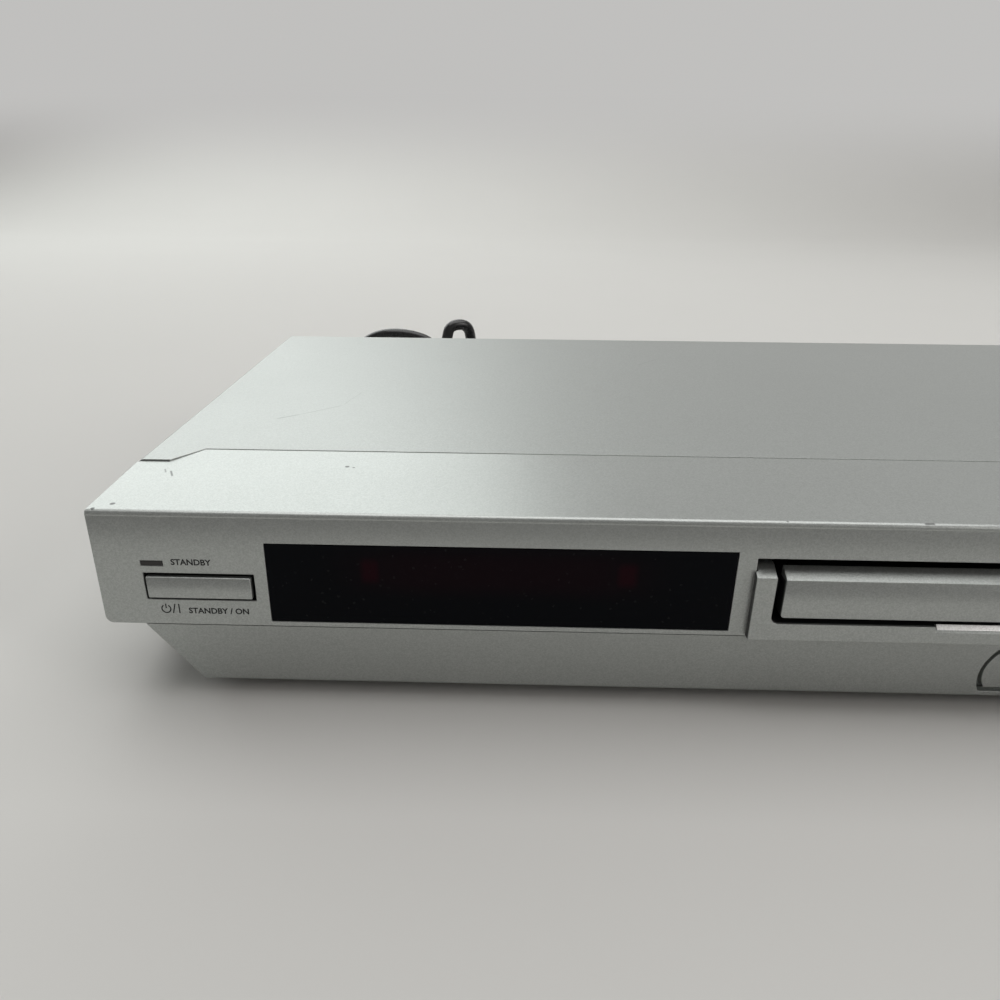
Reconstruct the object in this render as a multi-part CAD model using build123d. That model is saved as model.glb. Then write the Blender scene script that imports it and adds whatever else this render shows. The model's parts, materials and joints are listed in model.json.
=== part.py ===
from build123d import *
import os
from math import atan2, ceil, cos, pi, radians, sin, sqrt, tan

# A slim disc player with a front-loading tray. Millimetres. X runs along the front,
# Y from the front face to the back, Z up from the surface that the feet stand on.
# Y is counted here from the flat front face of the fascia, and each finished piece
# is moved so that the origin lies under the middle of the whole player.

# Overall body
WIDTH = 435.0
DEPTH = 200.0
COVER_TOP = 58.0
SHEET = 0.8
WALL = 2.2
FIT = 0.3
SEAT = 0.1
HALF = WIDTH / 2
REAR_FACE = DEPTH - SHEET
PANEL_FACE = REAR_FACE - SHEET
COVER_ROUND = 1.6
VENT_ROWS = 9
VENT_PITCH = 9.0
VENT_SLOT = 3.0
VENT_LOW = 20.0
VENT_HIGH = 40.0

# Fascia: band above, chin below, sloping top behind the lip
LIP_TOP = 56.5
LIP_ROUND = 1.0
FASCIA_TOP_BACK = 57.4
BAND_BOTTOM = 24.3
FASCIA_DEPTH = 41.5
END_DEPTH = 32.0
END_FLAT = 9.3
END_SLANT = 6.8
SHELF = 6.0
SHELF_THICK = 1.6
SHELF_SIDE_GAP = 1.2
RIB_INSET = 8.85
RIB_REACH = 8.0
CHIN_BOTTOM = 4.0
CHIN_SETBACK = 4.0
CHIN_LIP = 8.0
CHIN_END_TOP = 10.2
CHIN_END_BOTTOM = 22.0
PARTING = 0.2
BAND_CORNER = 2.0

# Tray opening, surround and door
TRAY_X = 27.1
SURROUND_WIDTH = 157.4
SURROUND_PROUD = 2.1
SURROUND_BOTTOM = 24.4
SURROUND_BEVEL_BOTTOM = 42.25
SURROUND_TOP = 44.3
SURROUND_BEVEL_Y = 2.0
SURROUND_DEPTH = 6.0
OPENING_WIDTH = 147.2
OPENING_BOTTOM = 29.3
OPENING_TOP = 46.6
OPENING_CORNER = 2.0
DOOR_WIDTH = 142.8
DOOR_BOTTOM = 31.1
DOOR_BEVEL_BOTTOM = 41.8
DOOR_TOP = 44.0
DOOR_BEVEL_Y = 2.3
DOOR_WALL = 2.0
HOOK_X = 40.0
NOTCH_WIDTH = 64.6
NOTCH_BOTTOM = 27.6
NOTCH_DEPTH = 3.2

# Keys on the fascia: three to the right of the tray, two above them, one far left
KEY_MARGIN_LEFT = 12.0
KEY_MARGIN_RIGHT = 14.35
KEY_ROW_CLEAR = 3.05
KEY_SPACING = 4.7
KEY_BOTTOM = 31.7
KEY_TOP = 39.3
KEY_GAP = 0.45
KEY_DEPTH = 3.6
KEY_DISH = 0.6
KEY_EDGE = 1.2
KEY_FLANGE = 1.0
KEY_TRAVEL = 0.8
SKIP_BOTTOM = 44.2
SKIP_TOP = 50.6
STEM_RADIUS = 1.6
KEY_ROW_LEFT = TRAY_X + SURROUND_WIDTH / 2 + KEY_ROW_CLEAR
KEY_ROW_RIGHT = HALF - KEY_MARGIN_RIGHT
KEY_ROW_X = (KEY_ROW_LEFT + KEY_ROW_RIGHT) / 2
KEY_WIDTH = (KEY_ROW_RIGHT - KEY_ROW_LEFT - 2 * KEY_SPACING) / 3
KEY_PITCH = KEY_WIDTH + KEY_SPACING
STANDBY_X = -HALF + KEY_MARGIN_LEFT + KEY_WIDTH / 2

# Display window and indicator
DISPLAY_KEY_GAP = 3.4
DISPLAY_TRAY_GAP = 4.5
DISPLAY_BOTTOM = 25.7
DISPLAY_TOP = 48.2
DISPLAY_LEFT = STANDBY_X + KEY_WIDTH / 2 + DISPLAY_KEY_GAP
DISPLAY_RIGHT = TRAY_X - SURROUND_WIDTH / 2 - DISPLAY_TRAY_GAP
DISPLAY_X = (DISPLAY_LEFT + DISPLAY_RIGHT) / 2
DISPLAY_WIDTH = DISPLAY_RIGHT - DISPLAY_LEFT
WINDOW_RIM = 1.5
LED_WIDTH = 5.7
LED_Z = 42.1
LED_HEIGHT = 1.4
LED_X = -HALF + KEY_MARGIN_LEFT + LED_WIDTH / 2 - 0.2
PIPE_RADIUS = 2.0

# Circuit boards behind the fascia
BOARD_Y = 15.0
BOARD = 1.6
SWITCH_DEPTH = 3.5
SWITCH_SIDE = 6.0
FRONT_BOARD_MARGIN = 9.5
FRONT_BOARD_TOP = LIP_TOP - WALL - SEAT
BOARD_POST_RADIUS = 2.2
BOARD_POST_Z = LIP_TOP - 4.5

# Open and close key in the chin
POCKET_HALF = 13.0
POCKET_BULGE = 2.1
POCKET_BOTTOM = 6.0
POCKET_TOP = 21.0
OPEN_KEY_GAP = 1.2

# Chassis pan, rear panel and feet
PAN_BOTTOM = 5.0
PAN_FRONT = 12.6
PAN_SIDE = 10.0
PAN_TONGUE = HALF - CHIN_END_BOTTOM - WALL - 2.3
PAN_RIB = 1.5
PAN_RIB_WIDTH = 6.0
REAR_FLANGE = 8.0
FOOT_RADIUS = 14.0
FOOT_TAPER = 1.5
PAD_RADIUS = 11.0
PAD_THICK = 1.6
PAD_SHOW = 1.0
FOOT_X = HALF - 49.5
FOOT_FRONT_Y = END_DEPTH
FOOT_REAR_Y = DEPTH - 24.0

# Fasteners
SCREW_RADIUS = 1.4
SCREW_HOLE = 1.6
SCREW_LENGTH = 5.0
SCREW_Z = 10.0
SIDE_SCREW_Y = (END_DEPTH + 20.0, DEPTH - 18.0)
REAR_SCREW_X = HALF - 27.5
FLANGE_SCREW = (HALF - 12.5, 11.0)
HEAD_RADIUS = 2.9
HEAD_THICK = 1.5

# Disc tray
TRAY_WIDTH = 130.0
TRAY_FRONT = 3.0
TRAY_REAR = 174.0
TRAY_BOTTOM = 34.0
TRAY_TOP = 41.2
TRAY_TRAVEL = 138.0
TRAY_SKIN = 1.8
WELL_FLOOR = 36.0
WELL_RADIUS = 61.0
SMALL_WELL_RADIUS = 41.0
SMALL_WELL_FLOOR = 35.2
SLOT_HALF = 25.0
TRAY_CORNER = 6.0
FINGER_RADIUS = 12.0
RACK_THICK = 4.0
SPINDLE_Y = 82.0
RACK_X = 48.0

# Gear train
MODULE = 1.0
FEED_MODULE = 0.7
PRESSURE = 25.0
ADDENDUM = 0.9
DEDENDUM = 1.2
THINNING = 0.10
BACKLASH = 0.12
DRIVE_TEETH = 24
WHEEL_TEETH = 40
WHEEL_HOLES = 5
WHEEL_HOLES_OUT = 14.8
PINION_TEETH = 12
DRIVE_Y = 28.0
PULLEY_Z = (23.0, 25.6)
WHEEL_Z = (26.2, 28.4)
DRIVE_Z = (28.4, 33.0)
PINION_Z = (25.6, 28.8)
FEED_Z = (27.6, 30.2)
PULLEY_RADIUS = 13.0
MOTOR_PULLEY_RADIUS = 4.0
MOTOR_PULLEY_X = -30.0
GROOVE_DEPTH = 0.6
GROOVE_RIM = 1.2
BELT = 1.6
BELT_TALL = 0.9
MOTOR_RADIUS = 10.5
MOTOR_HEIGHT = 11.0
MOTOR_BOSS = 3.0
MOTOR_SHAFT = 1.0
POST_RADIUS = 2.0
RUNNING = 0.05

# Loader frame under and beside the tray
LOADER_WALL = 2.5
LOADER_SIDE_GAP = 0.5
LOADER_BOTTOM = 9.8
LOADER_FRONT = 14.0
LOADER_REAR = TRAY_REAR + LOADER_WALL + 1.0
LUG_REACH = 9.0
LUG_THICK = 3.0
DECK_BOTTOM = 20.0
DECK_TOP = 22.5
DECK_REAR = 48.0
SIDE_TOP = 43.4
TRAY_TAB_Y = (24.0, 140.0)
LOADER_POST_Y = (20.0, 74.0, 150.0)

# Traverse: the sub-frame with the turntable and the pickup
TRAVERSE_HALF = 50.0
TRAVERSE_FRONT = 57.0
TRAVERSE_REAR = 173.0
TRAVERSE_BOTTOM = 20.0
TRAVERSE_TOP = 26.0
TRAVERSE_DROP = 5.0
PIVOT_Y = 168.0
PIVOT_Z = 23.0
PIVOT_RADIUS = 2.0
CAM_TRAVEL = 16.0
CAM_Y = 50.0
CAM_THICK = 2.5
CAM_BOTTOM = 12.0
CAM_PIN_X = 24.0
CAM_PIN_Z = 22.5
CAM_PIN_RADIUS = 1.5
TURNTABLE_RADIUS = 15.0
TURNTABLE_TOP = 37.2
PICKUP_INNER = 24.0
PICKUP_TRAVEL = 34.0
GUIDE_X = 20.0
GUIDE_Z = 28.0
GUIDE_RADIUS = 1.5
SPINDLE_MOTOR = 13.0
SPINDLE_RADIUS = 1.5
MOTOR_TOP = 31.0
PICKUP_HALF = 22.0
PICKUP_Z = (23.0, 32.0)
LENS_RING = 3.9
FEED_POST = 1.5
FEED_BOSS = 2.5
BRIDGE_HALF = 20.0
BRIDGE_THICK = 1.0
CLAMPER_RADIUS = 15.5
CLAMPER_NECK = 10.4
FEED_Y = 118.0
FEED_TEETH = 26
FEED_RACK_X = -28.0

# Circuit boards on their standoffs
BOARD_Z = 12.0
BOARD_MARGIN = 9.5
BOARD_REAR = DEPTH - 10.0
LOADER_HALF = TRAY_WIDTH / 2 + LOADER_SIDE_GAP + LOADER_WALL
POWER_X = (2.0 - HALF + BOARD_MARGIN, 112.0 - HALF + BOARD_MARGIN)
POWER_Y = (BOARD_REAR - 106.0, BOARD_REAR)
MAIN_X = (TRAY_X + LOADER_HALF + LUG_REACH + 7.9, HALF - BOARD_MARGIN)
MAIN_Y = (BOARD_REAR - 98.0, BOARD_REAR)
MAIN_MIDDLE = sum(MAIN_X) / 2
SCREW_INSET = 4.0
SCREW_FORWARD = 26.0
STANDOFF_RADIUS = 3.0
PLUG_TALL = 5.0
FIN_COUNT = 5
FIN_THICK = 1.4

# Rear sockets
JACK_RADIUS = 4.15
JACK_LENGTH = 8.0
JACK_PITCH = 14.0
JACK_X = HALF - 17.5
JACK_LOW_Z = 21.0
JACK_HIGH_Z = 35.0
JACK_FLANGE = 1.4
JACK_SEAT = 2.2
JACK_WALL = 0.95
JACK_CORE = 2.5
HOUSING_DEPTH = 16.0
SOCKET_HOLLOW = 3.2
SOCKET_X = JACK_X - 48.0
SOCKET_WIDTH = 13.0
VIDEO_SOCKET_Z = (28.5, 41.5)
COAXIAL_SOCKET_Z = (14.5, 27.0)
OPTICAL_X = JACK_X - 68.0
OPTICAL_WIDTH = 11.0
OPTICAL_SOCKET_Z = (15.0, 26.0)

# Mains cord
CORD_RADIUS = 2.75
GLAND_X = -HALF + 57.5
GLAND_Z = 22.0
GLAND_NECK = 5.0
SLEEVE_BIG = 4.8
SLEEVE_SMALL = 3.4
SLEEVE_LENGTH = 22.0

# The put-away length is a flat hank behind the player, with its plug on top
HANK_Y = DEPTH + 50.0
HANK_LEFT = GLAND_X + 63.0
HANK_RIGHT = HANK_LEFT + 91.0
HANK_HALF = 25.0
HANK_STEP = 5.95
HANK_RUNS_IN = 4
HANK_RUNS_OUT = 3
HANK_BASE = 0.9
TIE_THICK = 0.6
PLUG_SECTIONS = (
    (0.0, 8.0, 8.0),
    (5.0, 8.4, 8.4),
    (6.0, 15.0, 12.0),
    (15.0, 22.0, 13.0),
    (25.0, 33.0, 13.7),
    (38.0, 35.0, 13.7),
)
PLUG_PIN_PITCH = 18.6
PLUG_PIN_LENGTH = 19.0
PLUG_PIN_RADIUS = 2.0

# Cord from the gland's sleeve over the low arch to the hank, as (x from the gland,
# y from the back edge, z)
LEAD_STEPS = [
    (-0.5, 42.0, 20.5),
    (-12.0, 57.0, 16.5),
    (-29.0, 63.0, 18.5),
    (-40.5, 61.5, 28.0),
    (-42.5, 58.0, 41.5),
    (-31.0, 54.0, 49.5),
    (-10.0, 52.0, 50.2),
    (8.0, 53.0, 44.0),
    (16.0, 56.0, 26.0),
    (22.0, 65.0, 9.0),
]
LEAD_ROUTE = [(GLAND_X, REAR_FACE + SLEEVE_LENGTH, GLAND_Z)]
LEAD_ROUTE += [(GLAND_X + x, DEPTH + y, z) for x, y, z in LEAD_STEPS]
LEAD_ROUTE += [
    (HANK_LEFT - 24.0, HANK_Y + HANK_HALF, HANK_BASE + CORD_RADIUS),
    (HANK_LEFT, HANK_Y + HANK_HALF, HANK_BASE + CORD_RADIUS),
]

# Cord from the hank's front run over the tight loop and down to the plug, the same way
TAIL_STEPS = [
    (22.0, 29.0, 7.5),
    (11.5, 30.0, 24.0),
    (14.0, 31.0, 42.0),
    (15.5, 32.0, 51.0),
    (16.5, 33.0, 57.8),
    (27.5, 37.0, 57.8),
    (29.5, 39.0, 48.0),
    (28.0, 43.0, 35.0),
    (31.0, 47.0, 24.5),
    (40.0, 50.0, 19.8),
    (53.0, 50.0, 19.8),
]
TAIL_ROUTE = [
    (HANK_LEFT, HANK_Y - HANK_HALF + HANK_STEP / 2, HANK_BASE + CORD_RADIUS + HANK_STEP),
    (HANK_LEFT - 22.0, HANK_Y - HANK_HALF + HANK_STEP / 2, HANK_BASE + CORD_RADIUS + HANK_STEP),
]
TAIL_ROUTE += [(GLAND_X + x, DEPTH + y, z) for x, y, z in TAIL_STEPS]

# Rack lengths, gear centres and the turns that put teeth in mesh
RACK_TEETH = ceil(TRAY_TRAVEL / (pi * MODULE)) + 5
FEED_RACK_TEETH = ceil(PICKUP_TRAVEL / (pi * FEED_MODULE)) + 2
DRIVE_X = TRAY_X + RACK_X - MODULE * DRIVE_TEETH / 2 - BACKLASH
PINION_X = DRIVE_X - MODULE * (WHEEL_TEETH + PINION_TEETH) / 2 - BACKLASH
DRIVE_TURN = 0.0
WHEEL_TURN = pi
PINION_TURN = pi / PINION_TEETH
FEED_X = TRAY_X + FEED_RACK_X - FEED_MODULE * FEED_TEETH / 2 - BACKLASH
FEED_TURN = 0.0
FEED_MOTOR_X = FEED_X
FEED_MOTOR_Y = FEED_Y - FEED_MODULE * (FEED_TEETH + PINION_TEETH) / 2 - BACKLASH
FEED_PINION_TURN = pi / 2
TILT = atan2(TRAVERSE_DROP, PIVOT_Y - SPINDLE_Y)
CAM_LIFT = (PIVOT_Y - CAM_Y - CAM_THICK / 2) * sin(TILT)

REACH_BACK = REAR_FACE + JACK_LENGTH
ORIGIN_Y = -(REAR_FACE + SLEEVE_LENGTH - SURROUND_PROUD) / 2

os.makedirs("parts", exist_ok=True)


def block(x, y, z):
    """A box from three pairs of limits."""
    return Pos(sum(x) / 2, sum(y) / 2, sum(z) / 2) * Box(x[1] - x[0], y[1] - y[0], z[1] - z[0])


def drum(x, y, z, radius):
    """An upright cylinder between two heights."""
    return Pos(x, y, sum(z) / 2) * Cylinder(radius, z[1] - z[0])


def drum_y(x, z, y, radius):
    """A cylinder that runs front to back."""
    return Pos(x, sum(y) / 2, z) * Rot(90, 0, 0) * Cylinder(radius, y[1] - y[0])


def drum_x(y, z, x, radius):
    """A cylinder that runs side to side."""
    return Pos(sum(x) / 2, y, z) * Rot(0, 90, 0) * Cylinder(radius, x[1] - x[0])


def prism_x(points, x):
    """A side profile of (y, z) points, drawn out from one x to another."""
    line = Polyline(*[(x[0], y, z) for y, z in points], close=True)
    return extrude(make_face(line), x[1] - x[0], dir=(1, 0, 0))


def prism_y(points, y):
    """A front outline of (x, z) points, drawn out from one y to another."""
    line = Polyline(*[(px, y[0], pz) for px, pz in points], close=True)
    return extrude(make_face(line), y[1] - y[0], dir=(0, 1, 0))


def prism_z(points, z):
    """A plan of (x, y) points, drawn out from one height to another."""
    line = Polyline(*[(px, py, z[0]) for px, py in points], close=True)
    return extrude(make_face(line), z[1] - z[0], dir=(0, 0, 1))


def save(name, *shapes):
    """Write one node, moved so that the origin lies under the player's middle."""
    solids = [solid for shape in shapes for solid in shape.solids()]
    moved = [Pos(0, ORIGIN_Y, 0) * solid for solid in solids]
    export_step(Compound(moved), f"parts/{name}.step")


# Casing

def cover_edge(clearance):
    """Plan of the metal cover's front edge, right half, as (x, y) points."""
    flat = HALF - END_FLAT
    slant = flat - END_SLANT
    return [
        (HALF + 1, END_DEPTH + clearance),
        (flat, END_DEPTH + clearance),
        (slant, FASCIA_DEPTH + clearance),
    ]


def plan_behind_edge(clearance, back):
    right = cover_edge(clearance)
    left = [(-x, y) for x, y in reversed(right)]
    return [(HALF + 1, back)] + right + left + [(-HALF - 1, back)]


def top_cover():
    """Folded sheet: top, two sides and a short flange down the back."""
    outside = block((-HALF, HALF), (END_DEPTH, DEPTH), (PAN_BOTTOM, COVER_TOP))
    outside = fillet(outside.edges().filter_by(Axis.Y).group_by(Axis.Z)[-1], COVER_ROUND)
    inner = HALF - SHEET
    inside = block((-inner, inner), (END_DEPTH - 1, DEPTH - SHEET), (PAN_BOTTOM - 1, COVER_TOP - SHEET))
    inside = fillet(inside.edges().filter_by(Axis.Y).group_by(Axis.Z)[-1], COVER_ROUND - SHEET)
    shell = outside - inside
    edge = [(HALF - END_FLAT, END_DEPTH - 1)] + cover_edge(0)[1:]
    shell -= prism_z(edge + [(-x, y) for x, y in reversed(edge)], (COVER_TOP - 2, COVER_TOP + 1))
    below = (PAN_BOTTOM - 1, COVER_TOP - REAR_FLANGE)
    shell -= block((-inner + 4, inner - 4), (DEPTH - 2, DEPTH + 1), below)
    for side in (-1, 1):
        for row in range(VENT_ROWS):
            y = POWER_Y[0] + VENT_PITCH * row
            through = sorted((side * (HALF - 3), side * (HALF + 1)))
            shell -= block(through, (y, y + VENT_SLOT), (VENT_LOW, VENT_HIGH))
    for x, y in side_screw_places():
        shell -= drum_x(y, SCREW_Z, (x - 3, x + 3), SCREW_HOLE)
    for x in rear_screw_places():
        shell -= drum_y(x, COVER_TOP - REAR_FLANGE / 2, (DEPTH - 2, DEPTH + 1), SCREW_HOLE)
    return shell


def side_screw_places():
    return [(side * HALF, y) for side in (-1, 1) for y in SIDE_SCREW_Y]


def rear_screw_places():
    return [-REAR_SCREW_X, 0, REAR_SCREW_X]


def cover_screws():
    """Pan-head screws through the cover into the pan and the rear panel."""
    screws = []
    for x, y in side_screw_places():
        side = 1 if x > 0 else -1
        shaft = drum_x(y, SCREW_Z, sorted((x - side * SCREW_LENGTH, x)), SCREW_RADIUS)
        head = drum_x(y, SCREW_Z, sorted((x, x + side * HEAD_THICK)), HEAD_RADIUS)
        screws.append(shaft + head)
    for x in rear_screw_places():
        z = COVER_TOP - REAR_FLANGE / 2
        shaft = drum_y(x, z, (DEPTH - SCREW_LENGTH, DEPTH), SCREW_RADIUS)
        head = drum_y(x, z, (DEPTH, DEPTH + HEAD_THICK), HEAD_RADIUS)
        screws.append(shaft + head)
    return screws


def fascia_line(y):
    """Height of the sloping fascia top at a distance behind the front face."""
    return LIP_TOP + (FASCIA_TOP_BACK - LIP_TOP) * y / FASCIA_DEPTH


def front_panel():
    """Moulded shell: band, lip, sloping top, end walls and the windows' openings."""
    back = FASCIA_DEPTH
    outer = prism_x(
        [(0, BAND_BOTTOM), (0, LIP_TOP), (back, fascia_line(back)), (back, BAND_BOTTOM)], (-HALF, HALF)
    )
    lip = outer.edges().filter_by(Axis.X).sort_by(Axis.Y)[:2].sort_by(Axis.Z)[-1]
    outer = fillet(lip, LIP_ROUND)
    corners = outer.edges().filter_by(Axis.Y).group_by(Axis.Z)[0]
    outer = fillet(corners, BAND_CORNER)
    inner = prism_x(
        [
            (WALL, BAND_BOTTOM - 1),
            (WALL, LIP_TOP - WALL),
            (back + 1, fascia_line(back) - WALL),
            (back + 1, BAND_BOTTOM - 1),
        ],
        (-HALF + WALL, HALF - WALL),
    )
    shell = outer - inner
    shell -= prism_z(plan_behind_edge(-FIT, back + 2), (BAND_BOTTOM - 1, COVER_TOP))
    shell += cover_shelf()
    for side in (-1, 1):
        toe = sorted((side * (HALF - BAND_CORNER), side * (HALF - CHIN_END_TOP - WALL)))
        shell += block(toe, (0.5, END_DEPTH - FIT), (BAND_BOTTOM, BAND_BOTTOM + WALL))
    for x, width, low, high in fascia_openings():
        shell -= block((x - width / 2, x + width / 2), (-1, WALL + 0.5), (low, high))
    seat = SURROUND_WIDTH / 2 - FIT
    shell -= block((TRAY_X - seat, TRAY_X + seat), (-1, WALL + 0.5), (BAND_BOTTOM - 1, OPENING_TOP))
    for x in board_post_places():
        shell += drum_y(x, BOARD_POST_Z, (WALL - 0.2, BOARD_Y), BOARD_POST_RADIUS)
    for x in (DISPLAY_LEFT + RIB_INSET, DISPLAY_RIGHT - RIB_INSET):
        shell += block((x - 1, x + 1), (WALL - 0.2, RIB_REACH), (DISPLAY_TOP + 1.0, DISPLAY_TOP + 4.0))
    return shell


def cover_shelf():
    """Ledge behind the fascia's top edge that the metal cover rests on."""
    side = HALF - SHEET - SHELF_SIDE_GAP
    top = COVER_TOP - SHEET - SEAT
    front = END_DEPTH - 3
    plan = [
        (side, END_DEPTH - 2),
        (side, END_DEPTH + SHELF),
        (HALF - END_FLAT - END_SLANT, FASCIA_DEPTH + SHELF),
    ]
    plan += [(-x, y) for x, y in reversed(plan)]
    shelf = prism_z(plan, (top - SHELF_THICK, top))
    shelf -= block((-side + 18, side - 18), (front, FASCIA_DEPTH - 3), (0, COVER_TOP))
    above = [
        (front, fascia_line(front)),
        (FASCIA_DEPTH, fascia_line(FASCIA_DEPTH)),
        (FASCIA_DEPTH, COVER_TOP + 2),
        (front, COVER_TOP + 2),
    ]
    return shelf - prism_x(above, (-HALF, HALF))


def board_post_places():
    inset = FRONT_BOARD_MARGIN + 8
    return [-HALF + inset, DISPLAY_RIGHT - 7.9, KEY_ROW_LEFT + 3.15, HALF - inset]


def key_places():
    """Fascia keys as (name, x, bottom, top)."""
    row = [("stop", -KEY_PITCH), ("pause", 0), ("play", KEY_PITCH)]
    keys = [("standby", STANDBY_X, KEY_BOTTOM, KEY_TOP)]
    keys += [(name, KEY_ROW_X + shift, KEY_BOTTOM, KEY_TOP) for name, shift in row]
    skip = [("skip_back", -KEY_PITCH / 2), ("skip_forward", KEY_PITCH / 2)]
    keys += [(name, KEY_ROW_X + shift, SKIP_BOTTOM, SKIP_TOP) for name, shift in skip]
    return keys


def fascia_openings():
    holes = [(DISPLAY_X, DISPLAY_WIDTH, DISPLAY_BOTTOM, DISPLAY_TOP)]
    holes.append((LED_X, LED_WIDTH, LED_Z - LED_HEIGHT / 2, LED_Z + LED_HEIGHT / 2))
    for _, x, low, high in key_places():
        holes.append((x, KEY_WIDTH, low, high))
    return holes


def tray_surround():
    """Proud frame round the tray door, open at the top, with a notched sill."""
    half = SURROUND_WIDTH / 2
    profile = [
        (-SURROUND_PROUD, SURROUND_BOTTOM),
        (-SURROUND_PROUD, SURROUND_BEVEL_BOTTOM),
        (SURROUND_BEVEL_Y, SURROUND_TOP),
        (SURROUND_DEPTH, SURROUND_TOP),
        (SURROUND_DEPTH, SURROUND_BOTTOM),
    ]
    frame = prism_x(profile, (TRAY_X - half, TRAY_X + half))
    for side in (-1, 1):
        step = sorted((TRAY_X + side * (half - 2 * FIT), TRAY_X + side * (half + 1)))
        frame -= block(step, (0, SURROUND_DEPTH + 1), (SURROUND_BOTTOM - 1, SURROUND_TOP + 1))
    mouth = block(
        (TRAY_X - OPENING_WIDTH / 2, TRAY_X + OPENING_WIDTH / 2),
        (-SURROUND_PROUD - 1, SURROUND_DEPTH + 1),
        (OPENING_BOTTOM, OPENING_TOP + 5),
    )
    mouth = fillet(mouth.edges().filter_by(Axis.Y).group_by(Axis.Z)[0], OPENING_CORNER)
    frame -= mouth
    inside = half - WALL - 0.8
    hollow = block((-inside, inside), (0, SURROUND_DEPTH + 1), (SURROUND_BOTTOM - 1, OPENING_BOTTOM - WALL))
    frame -= Pos(TRAY_X, 0, 0) * hollow
    notch = prism_x(
        [
            (-SURROUND_PROUD - 0.01, NOTCH_BOTTOM),
            (-SURROUND_PROUD - 0.01, OPENING_BOTTOM + 1),
            (NOTCH_DEPTH, OPENING_BOTTOM + 1),
            (NOTCH_DEPTH - SURROUND_PROUD, OPENING_BOTTOM),
        ],
        (TRAY_X - NOTCH_WIDTH / 2, TRAY_X + NOTCH_WIDTH / 2),
    )
    return frame - notch


def pocket_outline(shrink, y):
    """Outline in the chin for the open and close key: flat top and bottom, bowed ends."""
    half = POCKET_HALF - shrink
    low = POCKET_BOTTOM + shrink
    high = POCKET_TOP - shrink
    middle = (low + high) / 2
    left = TRAY_X - half
    right = TRAY_X + half
    return [
        Line((left, y, high), (right, y, high)),
        ThreePointArc((right, y, high), (right + POCKET_BULGE, y, middle), (right, y, low)),
        Line((right, y, low), (left, y, low)),
        ThreePointArc((left, y, low), (left - POCKET_BULGE, y, middle), (left, y, high)),
    ]


def pocket_prism(shrink, y):
    outline = make_face(Curve() + pocket_outline(shrink, y[0]))
    return extrude(outline, y[1] - y[0], dir=(0, 1, 0))


def chin_face(z):
    """Distance of the sloping chin face behind the fascia face."""
    return PARTING + CHIN_SETBACK * (BAND_BOTTOM - z) / (BAND_BOTTOM - CHIN_BOTTOM)


def chin_trapezoid(inset, top):
    right_top = HALF - CHIN_END_TOP - inset
    right_bottom = HALF - CHIN_END_BOTTOM - inset
    return [(-right_top, top), (right_top, top), (right_bottom, CHIN_BOTTOM), (-right_bottom, CHIN_BOTTOM)]


def chin_trim():
    """Lower moulding: sloping front, slanted ends and a turned-in bottom lip."""
    top = BAND_BOTTOM - PARTING
    outer = prism_y(chin_trapezoid(0, top), (-1, END_DEPTH - FIT))
    side = prism_x(
        [
            (chin_face(top), top + 1),
            (chin_face(top), top),
            (chin_face(CHIN_BOTTOM), CHIN_BOTTOM),
            (END_DEPTH, CHIN_BOTTOM),
            (END_DEPTH, top + 1),
        ],
        (-HALF, HALF),
    )
    outer = outer & side
    lip = outer.edges().filter_by(Axis.X).group_by(Axis.Z)[0].sort_by(Axis.Y)[0]
    outer = fillet(lip, 1.2)
    room = prism_y(chin_trapezoid(WALL, top + 1), (-1, END_DEPTH + 1))
    room &= prism_x(
        [
            (chin_face(top + 2) + WALL, top + 2),
            (chin_face(CHIN_BOTTOM) + WALL, CHIN_BOTTOM + 1),
            (END_DEPTH + 1, CHIN_BOTTOM + 1),
            (END_DEPTH + 1, top + 2),
        ],
        (-HALF, HALF),
    )
    shell = outer - room
    lip_back = CHIN_LIP + CHIN_SETBACK
    shell -= block((-PAN_TONGUE - 1, PAN_TONGUE + 1), (lip_back, END_DEPTH + 1), (0, CHIN_BOTTOM + 1.5))
    return shell - pocket_prism(0, (-1, CHIN_LIP))


def open_key():
    """Key in the chin pocket: face parallel to the chin, rim and a stem behind."""
    reach = (0, BOARD_Y)
    face = pocket_prism(OPEN_KEY_GAP, reach) & chin_slice(FIT, FIT + 3)
    flange = pocket_prism(-KEY_FLANGE, reach) & chin_slice(WALL + FIT, WALL + FIT + 1)
    stem_z = (POCKET_BOTTOM + POCKET_TOP) / 2
    stem = drum_y(TRAY_X, stem_z, (WALL + FIT + 1.5, BOARD_Y - SWITCH_DEPTH - FIT), STEM_RADIUS)
    return face + flange + stem


def chin_slice(near, far):
    """Slab parallel to the chin face, between two depths behind it."""
    low, high = 0, BAND_BOTTOM
    side = [
        (chin_face(high) + near, high),
        (chin_face(low) + near, low),
        (chin_face(low) + far, low),
        (chin_face(high) + far, high),
    ]
    reach = POCKET_HALF + POCKET_BULGE + KEY_FLANGE + 1
    return prism_x(side, (TRAY_X - reach, TRAY_X + reach))


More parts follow.
